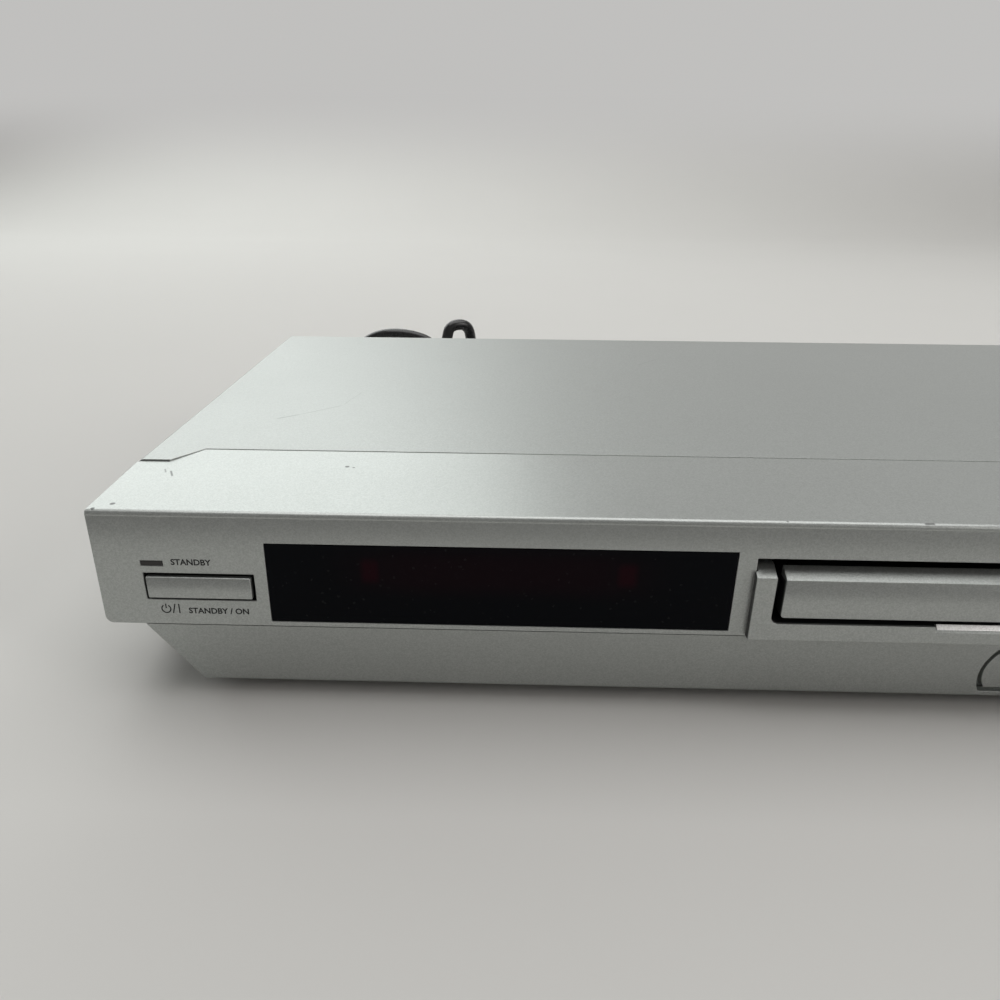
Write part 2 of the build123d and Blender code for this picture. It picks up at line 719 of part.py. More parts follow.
def fascia_key(x, low, high):
    """Key cap with a dished, bevelled face, a rear flange and a stem."""
    half = KEY_WIDTH / 2 - KEY_GAP
    low = low + KEY_GAP
    high = high - KEY_GAP
    cap = block((x - half, x + half), (0, KEY_DEPTH), (low, high))
    cap = chamfer(cap.faces().sort_by(Axis.Y)[0].edges().group_by(Axis.Z)[-1], KEY_EDGE, KEY_EDGE / 1.5)
    radius = ((high - low) ** 2 / 4 + KEY_DISH**2) / (2 * KEY_DISH)
    dish = (x - half + KEY_EDGE, x + half - KEY_EDGE)
    cap -= drum_x(KEY_DISH - radius, (low + high - KEY_EDGE) / 2, dish, radius)
    flange = block(
        (x - half - KEY_FLANGE, x + half + KEY_FLANGE),
        (WALL + FIT, WALL + FIT + 1),
        (low - KEY_FLANGE, high + KEY_FLANGE),
    )
    stem = drum_y(x, (low + high) / 2, (3.0, BOARD_Y - SWITCH_DEPTH - FIT), STEM_RADIUS)
    return cap + flange + stem


def display_window():
    half = DISPLAY_WIDTH / 2 - SEAT
    low = DISPLAY_BOTTOM + SEAT
    pane = block((DISPLAY_X - half, DISPLAY_X + half), (0.05, WALL), (low, DISPLAY_TOP - SEAT))
    half += WINDOW_RIM
    rim = block((DISPLAY_X - half, DISPLAY_X + half), (WALL, WALL + 1), (low, DISPLAY_TOP + 0.9))
    return pane + rim


def standby_lens():
    """Light pipe from the lamp on the board to its slit in the fascia."""
    half = LED_WIDTH / 2 - SEAT
    tall = LED_HEIGHT / 2 - SEAT
    slit = block((LED_X - half, LED_X + half), (0.05, WALL + 1.8), (LED_Z - tall, LED_Z + tall))
    return slit + drum_y(LED_X, LED_Z, (WALL + 0.2, BOARD_Y - 4), PIPE_RADIUS)


def tray_door():
    """Hollow door: front wall, bevelled top, end and bottom returns, two hooks."""
    half = DOOR_WIDTH / 2
    profile = [
        (-SURROUND_PROUD, DOOR_BOTTOM),
        (-SURROUND_PROUD, DOOR_BEVEL_BOTTOM),
        (DOOR_BEVEL_Y, DOOR_TOP),
        (DOOR_BEVEL_Y, DOOR_BOTTOM),
    ]
    door = prism_x(profile, (TRAY_X - half, TRAY_X + half))
    corners = door.edges().filter_by(Axis.Y).group_by(Axis.Z)[0]
    door = fillet(corners, OPENING_CORNER / 2)
    hollow = prism_x(
        [
            (-SURROUND_PROUD + DOOR_WALL, DOOR_BOTTOM + 1.6),
            (-SURROUND_PROUD + DOOR_WALL, DOOR_BEVEL_BOTTOM - 0.8),
            (DOOR_BEVEL_Y + 1, DOOR_TOP - 0.8),
            (DOOR_BEVEL_Y + 1, DOOR_BOTTOM + 1.6),
        ],
        (TRAY_X - half + DOOR_WALL, TRAY_X + half - DOOR_WALL),
    )
    door -= hollow
    for side in (-1, 1):
        x = TRAY_X + side * HOOK_X
        door += block((x - 3, x + 3), (-0.3, TRAY_FRONT - SEAT), (TRAY_BOTTOM + 2.2, TRAY_BOTTOM + 4.6))
    return door


def tray():
    """Disc tray: skirted plate, two stepped wells, finger dip, rear slot and drive rack."""
    half = TRAY_WIDTH / 2
    x = (TRAY_X - half, TRAY_X + half)
    body = block(x, (TRAY_FRONT, TRAY_REAR), (TRAY_BOTTOM, TRAY_TOP))
    body = fillet(body.edges().filter_by(Axis.Z).group_by(Axis.Y)[-1], TRAY_CORNER)
    body -= drum(TRAY_X, SPINDLE_Y, (WELL_FLOOR, TRAY_TOP + 1), WELL_RADIUS)
    body -= drum(TRAY_X, SPINDLE_Y - WELL_RADIUS, (WELL_FLOOR, TRAY_TOP + 1), FINGER_RADIUS)
    body -= drum(TRAY_X, SPINDLE_Y, (SMALL_WELL_FLOOR, TRAY_TOP), SMALL_WELL_RADIUS)
    through = (TRAY_BOTTOM - 1, TRAY_TOP + 1)
    slot = block((TRAY_X - SLOT_HALF, TRAY_X + SLOT_HALF), (SPINDLE_Y, TRAY_REAR + 1), through)
    body -= slot + drum(TRAY_X, SPINDLE_Y, through, SLOT_HALF)
    rear_pockets = [
        (TRAY_X - half + TRAY_SKIN, TRAY_X - SLOT_HALF - 4),
        (TRAY_X + SLOT_HALF + 4, TRAY_X + RACK_X - 3),
    ]
    for pocket in rear_pockets:
        y = (SPINDLE_Y + WELL_RADIUS + 4, TRAY_REAR - TRAY_CORNER)
        body -= block(pocket, y, (TRAY_BOTTOM - 1, TRAY_TOP - TRAY_SKIN))
    return body + tray_rack()


def rack_points(module, count, pitch_line, start, facing, back):
    """Plan outline of a rack that runs along Y, teeth pointing to facing (+1 or -1) in X."""
    tip = pitch_line + facing * ADDENDUM * module
    root = pitch_line - facing * DEDENDUM * module
    tan_p = tan(radians(PRESSURE))
    half_pitch = pi * module / 4 - THINNING * module
    points = [(back, start), (root, start)]
    for index in range(count):
        middle = start + pi * module * (index + 0.5)
        wide = half_pitch + DEDENDUM * module * tan_p
        thin = half_pitch - ADDENDUM * module * tan_p
        points += [(root, middle - wide), (tip, middle - thin), (tip, middle + thin), (root, middle + wide)]
    end = start + pi * module * count
    return points + [(root, end), (back, end)]


def tray_rack():
    """Rack under the tray's right side; the drive gear lies on its left."""
    start = DRIVE_Y - 4 * pi * MODULE
    line = TRAY_X + RACK_X
    points = rack_points(MODULE, RACK_TEETH, line, start, -1, line + RACK_THICK)
    return prism_z(points, (TRAY_BOTTOM - RACK_THICK, TRAY_BOTTOM + 0.1))


def gear_face(module, teeth, x, y, z, turn):
    """Spur gear outline with straight flanks that stay inside the involute."""
    pitch_radius = module * teeth / 2
    base = pitch_radius * cos(radians(PRESSURE))
    tip = pitch_radius + ADDENDUM * module
    root = pitch_radius - DEDENDUM * module

    def half_angle(radius):
        """Half the tooth's angle at a radius, from the involute function."""
        def involute(angle):
            return tan(angle) - angle
        flank = involute(radians(PRESSURE)) - involute(_pressure_at(base, radius))
        return (pi / 2 - 2 * THINNING) / teeth + flank

    points = []
    low = max(base, root)
    for index in range(teeth):
        middle = 2 * pi * index / teeth + turn
        thick, thin = half_angle(low), half_angle(tip)
        steps = [(root, -thick), (tip, -thin), (tip, thin), (root, thick)]
        points += [(x + r * cos(middle + a), y + r * sin(middle + a), z) for r, a in steps]
    return make_face(Polyline(*points, close=True))


def _pressure_at(base, radius):
    ratio = min(1.0, base / max(radius, base))
    return atan2(sqrt(1 - ratio * ratio), ratio)


def gear(module, teeth, x, y, z, turn=0.0):
    return extrude(gear_face(module, teeth, x, y, z[0], turn), z[1] - z[0], dir=(0, 0, 1))


# Chassis

def chassis_pan():
    """Folded bottom pan: tongue under the chin, side and front flanges, pressed ribs, vents."""
    inner = HALF - SHEET - 0.1
    z = (PAN_BOTTOM, PAN_BOTTOM + SHEET)
    step = END_DEPTH + 1
    pan = block((-inner, inner), (step, PANEL_FACE), z)
    pan += block((-PAN_TONGUE, PAN_TONGUE), (PAN_FRONT, step), z)
    high = PAN_BOTTOM + PAN_SIDE
    pan += block((-PAN_TONGUE, PAN_TONGUE), (PAN_FRONT, PAN_FRONT + SHEET), (PAN_BOTTOM, high))
    pan -= block((TRAY_X - 19, TRAY_X + 19), (PAN_FRONT - 1, PAN_FRONT + SHEET + 0.1), (z[1], high + 1))
    for side in (-1, 1):
        pan += block(sorted((side * (inner - SHEET), side * inner)), (step, PANEL_FACE), (PAN_BOTTOM, high))
        web = sorted((side * (PAN_TONGUE + 4), side * inner))
        pan += block(web, (step, step + SHEET), (PAN_BOTTOM, BAND_BOTTOM - 1))
    half = PAN_RIB_WIDTH / 2
    front, rear = END_DEPTH + 28, DEPTH - 40
    for x in (POWER_X[0] + 56, MAIN_X[0] + 38):
        pan += block((x - half, x + half), (front, rear), (z[1], z[1] + PAN_RIB))
        groove = (PAN_BOTTOM - 1, z[1] + PAN_RIB - SHEET)
        pan -= block((x - half + 1, x + half - 1), (front + 1, rear - 1), groove)
    for row in range(8):
        y = MAIN_Y[0] + 8 + 8 * row
        for left, right in ((POWER_X[0] + 76, POWER_X[0] + 102), (MAIN_X[0] + 6, MAIN_X[0] + 28)):
            pan -= block((left, right), (y, y + VENT_SLOT), (PAN_BOTTOM - 1, z[1] + 1))
    for x, y in side_screw_places():
        pan -= drum_x(y, SCREW_Z, (x - 4, x + 4), SCREW_HOLE)
    return pan


def rear_panel():
    """Sheet across the back with socket holes, cord hole, vents and a foot flange."""
    inner = HALF - SHEET - 0.4
    top = COVER_TOP - SHEET - 0.2
    panel = block((-inner, inner), (PANEL_FACE, REAR_FACE - 0.05), (PAN_BOTTOM, top))
    fold = (PANEL_FACE - 6, PANEL_FACE + 0.1)
    panel += block((-inner + 2, inner - 2), fold, (PAN_BOTTOM + SHEET, PAN_BOTTOM + 2 * SHEET))
    panel += block((-inner, inner), fold, (top - SHEET, top))
    for x, z in jack_places():
        panel -= drum_y(x, z, (PANEL_FACE - 1, DEPTH), JACK_RADIUS + 1.2)
    for x, width, low, high in socket_places():
        panel -= block((x - width / 2, x + width / 2), (PANEL_FACE - 1, DEPTH), (low, high))
    panel -= drum_y(GLAND_X, GLAND_Z, (PANEL_FACE - 1, DEPTH), GLAND_NECK + 0.1)
    for column in range(14):
        for low, high in ((18, 27), (31, VENT_HIGH)):
            x = GLAND_X + 40 + 8 * column
            panel -= block((x, x + VENT_SLOT), (PANEL_FACE - 1, DEPTH), (low, high))
    for x in rear_screw_places():
        panel -= drum_y(x, COVER_TOP - REAR_FLANGE / 2, (PANEL_FACE - 1, DEPTH), SCREW_HOLE)
    for side in (-1, 1):
        panel -= drum_y(side * FLANGE_SCREW[0], FLANGE_SCREW[1], (PANEL_FACE - 1, DEPTH), SCREW_HOLE)
    return panel


def jack_places():
    """Phono sockets as (x, z): three low, three high, seen from the front's right."""
    low = [(JACK_X - JACK_PITCH * index, JACK_LOW_Z) for index in range(3)]
    high = [(JACK_X - JACK_PITCH * index, JACK_HIGH_Z) for index in range(3)]
    return low + high


def socket_places():
    """Other sockets as (x, width, bottom, top): round video, coaxial, optical."""
    return [
        (SOCKET_X, SOCKET_WIDTH, *VIDEO_SOCKET_Z),
        (SOCKET_X, SOCKET_WIDTH, *COAXIAL_SOCKET_Z),
        (OPTICAL_X, OPTICAL_WIDTH, *OPTICAL_SOCKET_Z),
    ]


def rca_jacks():
    """Phono sockets: metal barrel round a hollow core, flange inside the panel."""
    jacks = []
    for x, z in jack_places():
        bore = REACH_BACK - JACK_LENGTH + 1
        barrel = drum_y(x, z, (PANEL_FACE - 1, REACH_BACK), JACK_RADIUS)
        barrel += drum_y(x, z, (PANEL_FACE - JACK_SEAT, PANEL_FACE - 0.1), JACK_RADIUS + JACK_FLANGE)
        barrel -= drum_y(x, z, (bore, REACH_BACK + 1), JACK_RADIUS - JACK_WALL)
        core = drum_y(x, z, (bore - 0.5, REACH_BACK - 0.6), JACK_CORE)
        core -= drum_y(x, z, (bore + 1, REACH_BACK + 1), JACK_CORE - JACK_WALL)
        jacks.append(barrel + core)
    return jacks


def jack_housing():
    """Moulded block behind the panel that carries the phono sockets on the main board."""
    half = JACK_PITCH / 2 + 0.5
    across = (JACK_X - 2 * JACK_PITCH - half, JACK_X + half)
    front, rear = PANEL_FACE - HOUSING_DEPTH, PANEL_FACE - JACK_SEAT - 0.2
    top = JACK_HIGH_Z + 8
    body = block(across, (front, rear), (BOARD_Z + BOARD, top))
    for index in range(3):
        x = JACK_X - JACK_PITCH * index
        room = (x - half + 2, x + half - 2)
        body -= block(room, (front - 1, front + 10), (BOARD_Z + BOARD + 2, top - 2))
    return body


def side_sockets():
    """Round video socket, coaxial socket and optical socket in their own bodies."""
    video, coaxial, optical = [socket_body(*place) for place in socket_places()]
    mouth = (REAR_FACE - SOCKET_HOLLOW, DEPTH + 1)
    z = sum(VIDEO_SOCKET_Z) / 2
    video -= drum_y(SOCKET_X, z, mouth, 4.6)
    for pin_x, pin_z in ((-1.7, -1), (1.7, -1), (-2, 1.2), (2, 1.2)):
        pin = (mouth[0] - 0.2, REAR_FACE - 0.4)
        video += drum_y(SOCKET_X + pin_x, z + pin_z, pin, 0.4)
    z = sum(COAXIAL_SOCKET_Z) / 2
    coaxial -= drum_y(SOCKET_X, z, mouth, 4.2)
    coaxial += drum_y(SOCKET_X, z, (mouth[0] - 0.2, REAR_FACE - 0.2), JACK_CORE)
    z = sum(OPTICAL_SOCKET_Z) / 2
    optical -= block((OPTICAL_X - 3.6, OPTICAL_X + 3.6), mouth, (z - 3.6, z + 3.6))
    bridge = socket_foot(SOCKET_X, (COAXIAL_SOCKET_Z[1] - 0.4, VIDEO_SOCKET_Z[0] + 0.4))
    pair = video + bridge + coaxial
    pair += socket_foot(SOCKET_X, (BOARD_Z + BOARD, COAXIAL_SOCKET_Z[0] + 0.4))
    optical += socket_foot(OPTICAL_X, (BOARD_Z + BOARD, OPTICAL_SOCKET_Z[0] + 0.5))
    return [pair, optical]


def socket_body(x, width, low, high):
    half = width / 2 - 0.2
    return block((x - half, x + half), (PANEL_FACE - 11, REAR_FACE + 0.6), (low + 0.2, high - 0.2))


def socket_foot(x, z):
    return block((x - 4.5, x + 4.5), (PANEL_FACE - 9, PANEL_FACE - 3), z)


def foot_places():
    return [(side * FOOT_X, y) for side in (-1, 1) for y in (FOOT_FRONT_Y, FOOT_REAR_Y)]


def feet():
    """Tapered round feet, each with a shallow dish that holds its pad."""
    solids = []
    for x, y in foot_places():
        profile = [
            (0, PAN_BOTTOM),
            (FOOT_RADIUS, PAN_BOTTOM),
            (FOOT_RADIUS - FOOT_TAPER, PAD_SHOW),
            (PAD_RADIUS + 0.1, PAD_SHOW),
            (PAD_RADIUS + 0.1, PAD_THICK),
            (0, PAD_THICK),
        ]
        face = make_face(Polyline(*[(r, 0, z) for r, z in profile], close=True))
        solids.append(Pos(x, y, 0) * revolve(face, Axis.Z))
    return solids


def foot_pads():
    return [drum(x, y, (0, PAD_THICK), PAD_RADIUS) for x, y in foot_places()]


# Loader

def loader_frame():
    """Moulded frame: side walls with ledges for the tray, front deck, pivot brackets."""
    inner = LOADER_HALF - LOADER_WALL
    across = (TRAY_X - inner - 1, TRAY_X + inner + 1)
    parts = []
    for side in (-1, 1):
        wall = sorted((TRAY_X + side * inner, TRAY_X + side * LOADER_HALF))
        parts.append(block(wall, (LOADER_FRONT, LOADER_REAR), (LOADER_BOTTOM, SIDE_TOP)))
        ledge = sorted((TRAY_X + side * (inner - 3.5), TRAY_X + side * (inner + 0.1)))
        parts.append(block(ledge, (LOADER_FRONT, LOADER_REAR), (TRAY_BOTTOM - 2.3, TRAY_BOTTOM - FIT)))
        for y in TRAY_TAB_Y:
            tab = sorted((TRAY_X + side * (inner - 3), TRAY_X + side * (inner + 0.1)))
            parts.append(block(tab, (y - 5, y + 5), (TRAY_TOP + FIT, SIDE_TOP)))
        bracket = sorted((TRAY_X + side * (TRAVERSE_HALF + 0.6), TRAY_X + side * (inner + 0.1)))
        parts.append(block(bracket, (PIVOT_Y - 6, PIVOT_Y + 6), (PIVOT_Z - 6, PIVOT_Z + 6)))
        lug = sorted((TRAY_X + side * (LOADER_HALF - 0.1), TRAY_X + side * (LOADER_HALF + LUG_REACH)))
        for y in LOADER_POST_Y:
            parts.append(block(lug, (y - 5, y + 5), (LOADER_BOTTOM, LOADER_BOTTOM + LUG_THICK)))
    parts.append(block(across, (LOADER_FRONT, DECK_REAR), (DECK_BOTTOM, DECK_TOP)))
    parts.append(block(across, (LOADER_REAR - LOADER_WALL, LOADER_REAR), (LOADER_BOTTOM, TRAY_BOTTOM - 4)))
    wall_y = (CAM_Y - FIT - 2, CAM_Y - FIT)
    parts.append(block(across, wall_y, (LOADER_BOTTOM, WHEEL_Z[0] - 0.6)))
    rail_y = (wall_y[0], CAM_Y + CAM_THICK + FIT)
    parts.append(block(across, rail_y, (LOADER_BOTTOM, CAM_BOTTOM - FIT)))
    frame = parts[0]
    for piece in parts[1:]:
        frame += piece
    window = 2 * CAM_PIN_RADIUS
    for side in (-1, 1):
        x = TRAY_X + side * CAM_PIN_X
        through = (wall_y[0] - 1, CAM_Y - FIT / 2)
        frame -= block((x - window, x + window), through, (CAM_PIN_Z - 10, WHEEL_Z[0]))
        bore = sorted((TRAY_X + side * (TRAVERSE_HALF - 1), TRAY_X + side * (inner - 2)))
        frame -= drum_x(PIVOT_Y, PIVOT_Z, bore, PIVOT_RADIUS + RUNNING)
    motor_x = TRAY_X + MOTOR_PULLEY_X
    frame -= drum(motor_x, DRIVE_Y, (DECK_BOTTOM - 1, DECK_TOP + 1), MOTOR_BOSS + 0.2)
    for x, top in ((DRIVE_X, DRIVE_Z[1] + 0.6), (PINION_X, PINION_Z[1] + 0.6)):
        frame += drum(x, DRIVE_Y, (DECK_TOP - 0.1, top), POST_RADIUS)
    for x, y in loader_screw_places():
        frame -= drum(x, y, (LOADER_BOTTOM - 1, LOADER_BOTTOM + LUG_THICK + 1), SCREW_HOLE)
    return frame


def loader_screw_places():
    middle = LOADER_HALF + LUG_REACH - SCREW_INSET
    return [(TRAY_X + side * middle, y) for side in (-1, 1) for y in LOADER_POST_Y]


def loader_posts():
    """Stand-offs pressed in the pan, one under each lug of the loader frame."""
    return [drum(x, y, (PAN_BOTTOM + SHEET, LOADER_BOTTOM), 3.6) for x, y in loader_screw_places()]


def screw_down(x, y, bottom, top):
    """Upright screw whose head rests at the top."""
    return drum(x, y, (bottom, top), SCREW_RADIUS) + drum(x, y, (top, top + HEAD_THICK), HEAD_RADIUS)


def loader_screws():
    """Screws through the lugs into the stand-offs."""
    top = LOADER_BOTTOM + LUG_THICK
    return [screw_down(x, y, LOADER_BOTTOM, top) for x, y in loader_screw_places()]


def drive_gear():
    """Compound gear: small teeth above for the rack, large wheel below."""
    upper = gear(MODULE, DRIVE_TEETH, DRIVE_X, DRIVE_Y, DRIVE_Z, DRIVE_TURN)
    wheel = gear(MODULE, WHEEL_TEETH, DRIVE_X, DRIVE_Y, WHEEL_Z, WHEEL_TURN)
    hub = drum(DRIVE_X, DRIVE_Y, (DECK_TOP + 0.2, DRIVE_Z[1]), 4.0)
    body = upper + wheel + hub
    for index in range(WHEEL_HOLES):
        angle = 2 * pi * index / WHEEL_HOLES
        x = DRIVE_X + WHEEL_HOLES_OUT * cos(angle)
        y = DRIVE_Y + WHEEL_HOLES_OUT * sin(angle)
        body -= drum(x, y, (WHEEL_Z[0] - 1, WHEEL_Z[0] + 1.4), 2.6)
    return body - drum(DRIVE_X, DRIVE_Y, (DECK_TOP, DRIVE_Z[1] + 1), POST_RADIUS + RUNNING)


def grooved_wheel(radius, bore):
    """Belt wheel with a flat-bottomed groove, round the origin."""
    low, high = PULLEY_Z
    middle = (low + high) / 2
    profile = [
        (bore, low),
        (radius + GROOVE_RIM, low),
        (radius - GROOVE_DEPTH, middle - 0.5),
        (radius - GROOVE_DEPTH, middle + 0.5),
        (radius + GROOVE_RIM, high),
        (bore, high),
    ]
    face = make_face(Polyline(*[(r, 0, z) for r, z in profile], close=True))
    return revolve(face, Axis.Z)


def pulley_gear():
    """Belt pulley with a pinion on top."""
    pulley = Pos(PINION_X, DRIVE_Y, 0) * grooved_wheel(PULLEY_RADIUS, POST_RADIUS + RUNNING)
    pinion = gear(MODULE, PINION_TEETH, PINION_X, DRIVE_Y, PINION_Z, PINION_TURN)
    pinion -= drum(PINION_X, DRIVE_Y, (PINION_Z[0] - 1, PINION_Z[1] + 1), POST_RADIUS + RUNNING)
    return pulley + pinion


def motor_pulley():
    x = TRAY_X + MOTOR_PULLEY_X
    shaft = drum(x, DRIVE_Y, (DECK_BOTTOM - 4, PULLEY_Z[0] + 0.1), MOTOR_SHAFT)
    return Pos(x, DRIVE_Y, 0) * grooved_wheel(MOTOR_PULLEY_RADIUS, 0) + shaft


def loading_motor():
    """Small round motor under the deck, its shaft up through the deck's hole."""
    x = TRAY_X + MOTOR_PULLEY_X
    can = drum(x, DRIVE_Y, (DECK_BOTTOM - MOTOR_HEIGHT, DECK_BOTTOM), MOTOR_RADIUS)
    can = chamfer(can.faces().sort_by(Axis.Z)[0].edges(), 0.8)
    can += drum(x, DRIVE_Y, (DECK_BOTTOM - 0.1, DECK_BOTTOM + 1.2), MOTOR_BOSS)
    return can - drum(x, DRIVE_Y, (DECK_BOTTOM - 5, DECK_BOTTOM + 2), MOTOR_SHAFT + RUNNING)


def drive_belt():
    """Square belt round both pulleys, straight between them."""
    x0 = TRAY_X + MOTOR_PULLEY_X
    x1 = PINION_X
    small = MOTOR_PULLEY_RADIUS - GROOVE_DEPTH + SEAT
    large = PULLEY_RADIUS - GROOVE_DEPTH + SEAT
    z = (sum(PULLEY_Z) - BELT_TALL) / 2

    def loop(extra):
        r0 = small + extra
        r1 = large + extra
        lean = atan2(r1 - r0, sqrt((x1 - x0) ** 2 - (r1 - r0) ** 2))
        top = [(x - r * sin(lean), DRIVE_Y + r * cos(lean)) for x, r in ((x0, r0), (x1, r1))]
        low = [(x, 2 * DRIVE_Y - y) for x, y in reversed(top)]
        edges = Line((*top[0], z), (*top[1], z))
        edges += ThreePointArc((*top[1], z), (x1 + r1, DRIVE_Y, z), (*low[0], z))
        edges += Line((*low[0], z), (*low[1], z))
        edges += ThreePointArc((*low[1], z), (x0 - r0, DRIVE_Y, z), (*top[0], z))
        return extrude(make_face(edges), BELT_TALL, dir=(0, 0, 1))

    return loop(BELT) - loop(0)


def cam_slider():
    """Sliding plate with two slanted slots that lift the traverse's pins."""
    x = (TRAY_X - TRAVERSE_HALF, TRAY_X + TRAVERSE_HALF - 4)
    body = block(x, (CAM_Y, CAM_Y + CAM_THICK), (CAM_BOTTOM, CAM_PIN_Z + 4))
    slot_half = CAM_PIN_RADIUS + FIT
    for side in (-1, 1):
        x = TRAY_X + side * CAM_PIN_X
        ends = [(x + 0.6, CAM_PIN_Z), (x - CAM_TRAVEL - 0.6, CAM_PIN_Z - CAM_LIFT)]
        for px, pz in ends:
            body -= drum_y(px, pz, (CAM_Y - 1, CAM_Y + CAM_THICK + 1), slot_half)
        (ax, az), (bx, bz) = ends
        length = sqrt((ax - bx) ** 2 + (az - bz) ** 2)
        nx = -(az - bz) / length * slot_half
        nz = (ax - bx) / length * slot_half
        body -= prism_y(
            [(ax + nx, az + nz), (ax - nx, az - nz), (bx - nx, bz - nz), (bx + nx, bz + nz)],
            (CAM_Y - 1, CAM_Y + CAM_THICK + 1),
        )
    return body


def traverse_frame():
    """Sub-frame plate with rim, openings, guide rod ears, cam pins and pivots."""
    x = (TRAY_X - TRAVERSE_HALF, TRAY_X + TRAVERSE_HALF)
    frame = block(x, (TRAVERSE_FRONT, TRAVERSE_REAR), (TRAVERSE_BOTTOM, TRAVERSE_TOP))
    frame = fillet(frame.edges().filter_by(Axis.Z), 4)
    wall = LOADER_WALL
    floor = TRAVERSE_BOTTOM + wall
    y = (TRAVERSE_FRONT + wall, TRAVERSE_REAR - wall)
    frame -= block((x[0] + wall, x[1] - wall), y, (floor, TRAVERSE_TOP + 1))
    through = (TRAVERSE_BOTTOM - 1, TRAVERSE_TOP + 1)
    frame += drum(TRAY_X, SPINDLE_Y, (TRAVERSE_BOTTOM, TRAVERSE_TOP), SPINDLE_MOTOR + 4)
    frame -= drum(TRAY_X, SPINDLE_Y, through, SPINDLE_MOTOR + 0.5)
    rail_y = (SPINDLE_Y + TURNTABLE_RADIUS - 0.2, SPINDLE_Y + PICKUP_INNER + PICKUP_TRAVEL + 17)
    room = PICKUP_HALF + 1
    frame -= block((TRAY_X - room, TRAY_X + room), rail_y, through)
    rack_room = (TRAY_X + FEED_RACK_X - 3, TRAY_X - room + 1)
    frame -= block(rack_room, (FEED_Y - 40, rail_y[1]), (TRAVERSE_BOTTOM + 1, TRAVERSE_TOP + 1))
    for side in (-1, 1):
        for y0, y1 in ((rail_y[0] - 3, rail_y[0]), (rail_y[1], rail_y[1] + 3)):
            gx = TRAY_X + side * GUIDE_X
            frame += block((gx - 3, gx + 3), (y0, y1), (TRAVERSE_BOTTOM, GUIDE_Z + 3))
            frame -= drum_y(gx, GUIDE_Z, (y0 - 1, y1 + 1), GUIDE_RADIUS + 0.02)
        pivot = sorted((TRAY_X + side * (TRAVERSE_HALF - 1), TRAY_X + side * (TRAVERSE_HALF + 8)))
        frame += drum_x(PIVOT_Y, PIVOT_Z, pivot, PIVOT_RADIUS)
        pin_x = TRAY_X + side * CAM_PIN_X
        root = (CAM_Y + CAM_THICK + 1.2, TRAVERSE_FRONT + 1)
        frame += block((pin_x - 3, pin_x + 3), root, (CAM_PIN_Z - 2.5, CAM_PIN_Z + 2.5))
        frame += drum_y(pin_x, CAM_PIN_Z, (CAM_Y - 0.1, CAM_Y + CAM_THICK + 2), CAM_PIN_RADIUS)
    frame += drum(FEED_X, FEED_Y, (TRAVERSE_BOTTOM, FEED_Z[1] + 0.6), FEED_POST)
    return frame - drum(FEED_MOTOR_X, FEED_MOTOR_Y, (TRAVERSE_BOTTOM - 1, TRAVERSE_TOP), FEED_BOSS + 0.1)


def guide_rods():
    y = (SPINDLE_Y + TURNTABLE_RADIUS - 3.2, SPINDLE_Y + PICKUP_INNER + PICKUP_TRAVEL + 20)
    rods = []
    for side in (-1, 1):
        rods.append(drum_y(TRAY_X + side * GUIDE_X, GUIDE_Z, y, GUIDE_RADIUS))
    return rods


def spindle_motor():
    """Flat motor in the traverse's round hole, with a flange under the plate."""
    low = TRAVERSE_BOTTOM - 1.5
    can = drum(TRAY_X, SPINDLE_Y, (low, MOTOR_TOP), SPINDLE_MOTOR)
    can = chamfer(can.faces().sort_by(Axis.Z)[-1].edges(), 1.0)
    can += block((TRAY_X - 18, TRAY_X + 18), (SPINDLE_Y - 15, SPINDLE_Y + 12), (low, TRAVERSE_BOTTOM))
    return can - drum(TRAY_X, SPINDLE_Y, (TRAVERSE_BOTTOM, MOTOR_TOP + 1), SPINDLE_RADIUS + RUNNING)


def turntable():
    """Disc seat: rimmed plate, cone hub and shaft, turned about the spindle."""
    profile = [
        (0, TRAVERSE_BOTTOM + 0.5),
        (SPINDLE_RADIUS, TRAVERSE_BOTTOM + 0.5),
        (SPINDLE_RADIUS, MOTOR_TOP + FIT),
        (5.0, MOTOR_TOP + FIT),
        (5.0, TURNTABLE_TOP - 2.5),
        (TURNTABLE_RADIUS, TURNTABLE_TOP - 2.0),
        (TURNTABLE_RADIUS, TURNTABLE_TOP),
        (TURNTABLE_RADIUS - 3, TURNTABLE_TOP),
        (TURNTABLE_RADIUS - 3, TURNTABLE_TOP - 0.6),
        (7.3, TURNTABLE_TOP - 0.6),
        (6.8, TURNTABLE_TOP + 1.0),
        (4.0, TURNTABLE_TOP + 2.0),
        (0, TURNTABLE_TOP + 2.0),
    ]
    face = make_face(Polyline(*[(r, 0, z) for r, z in profile], close=True))
    return Pos(TRAY_X, SPINDLE_Y, 0) * revolve(face, Axis.Z)


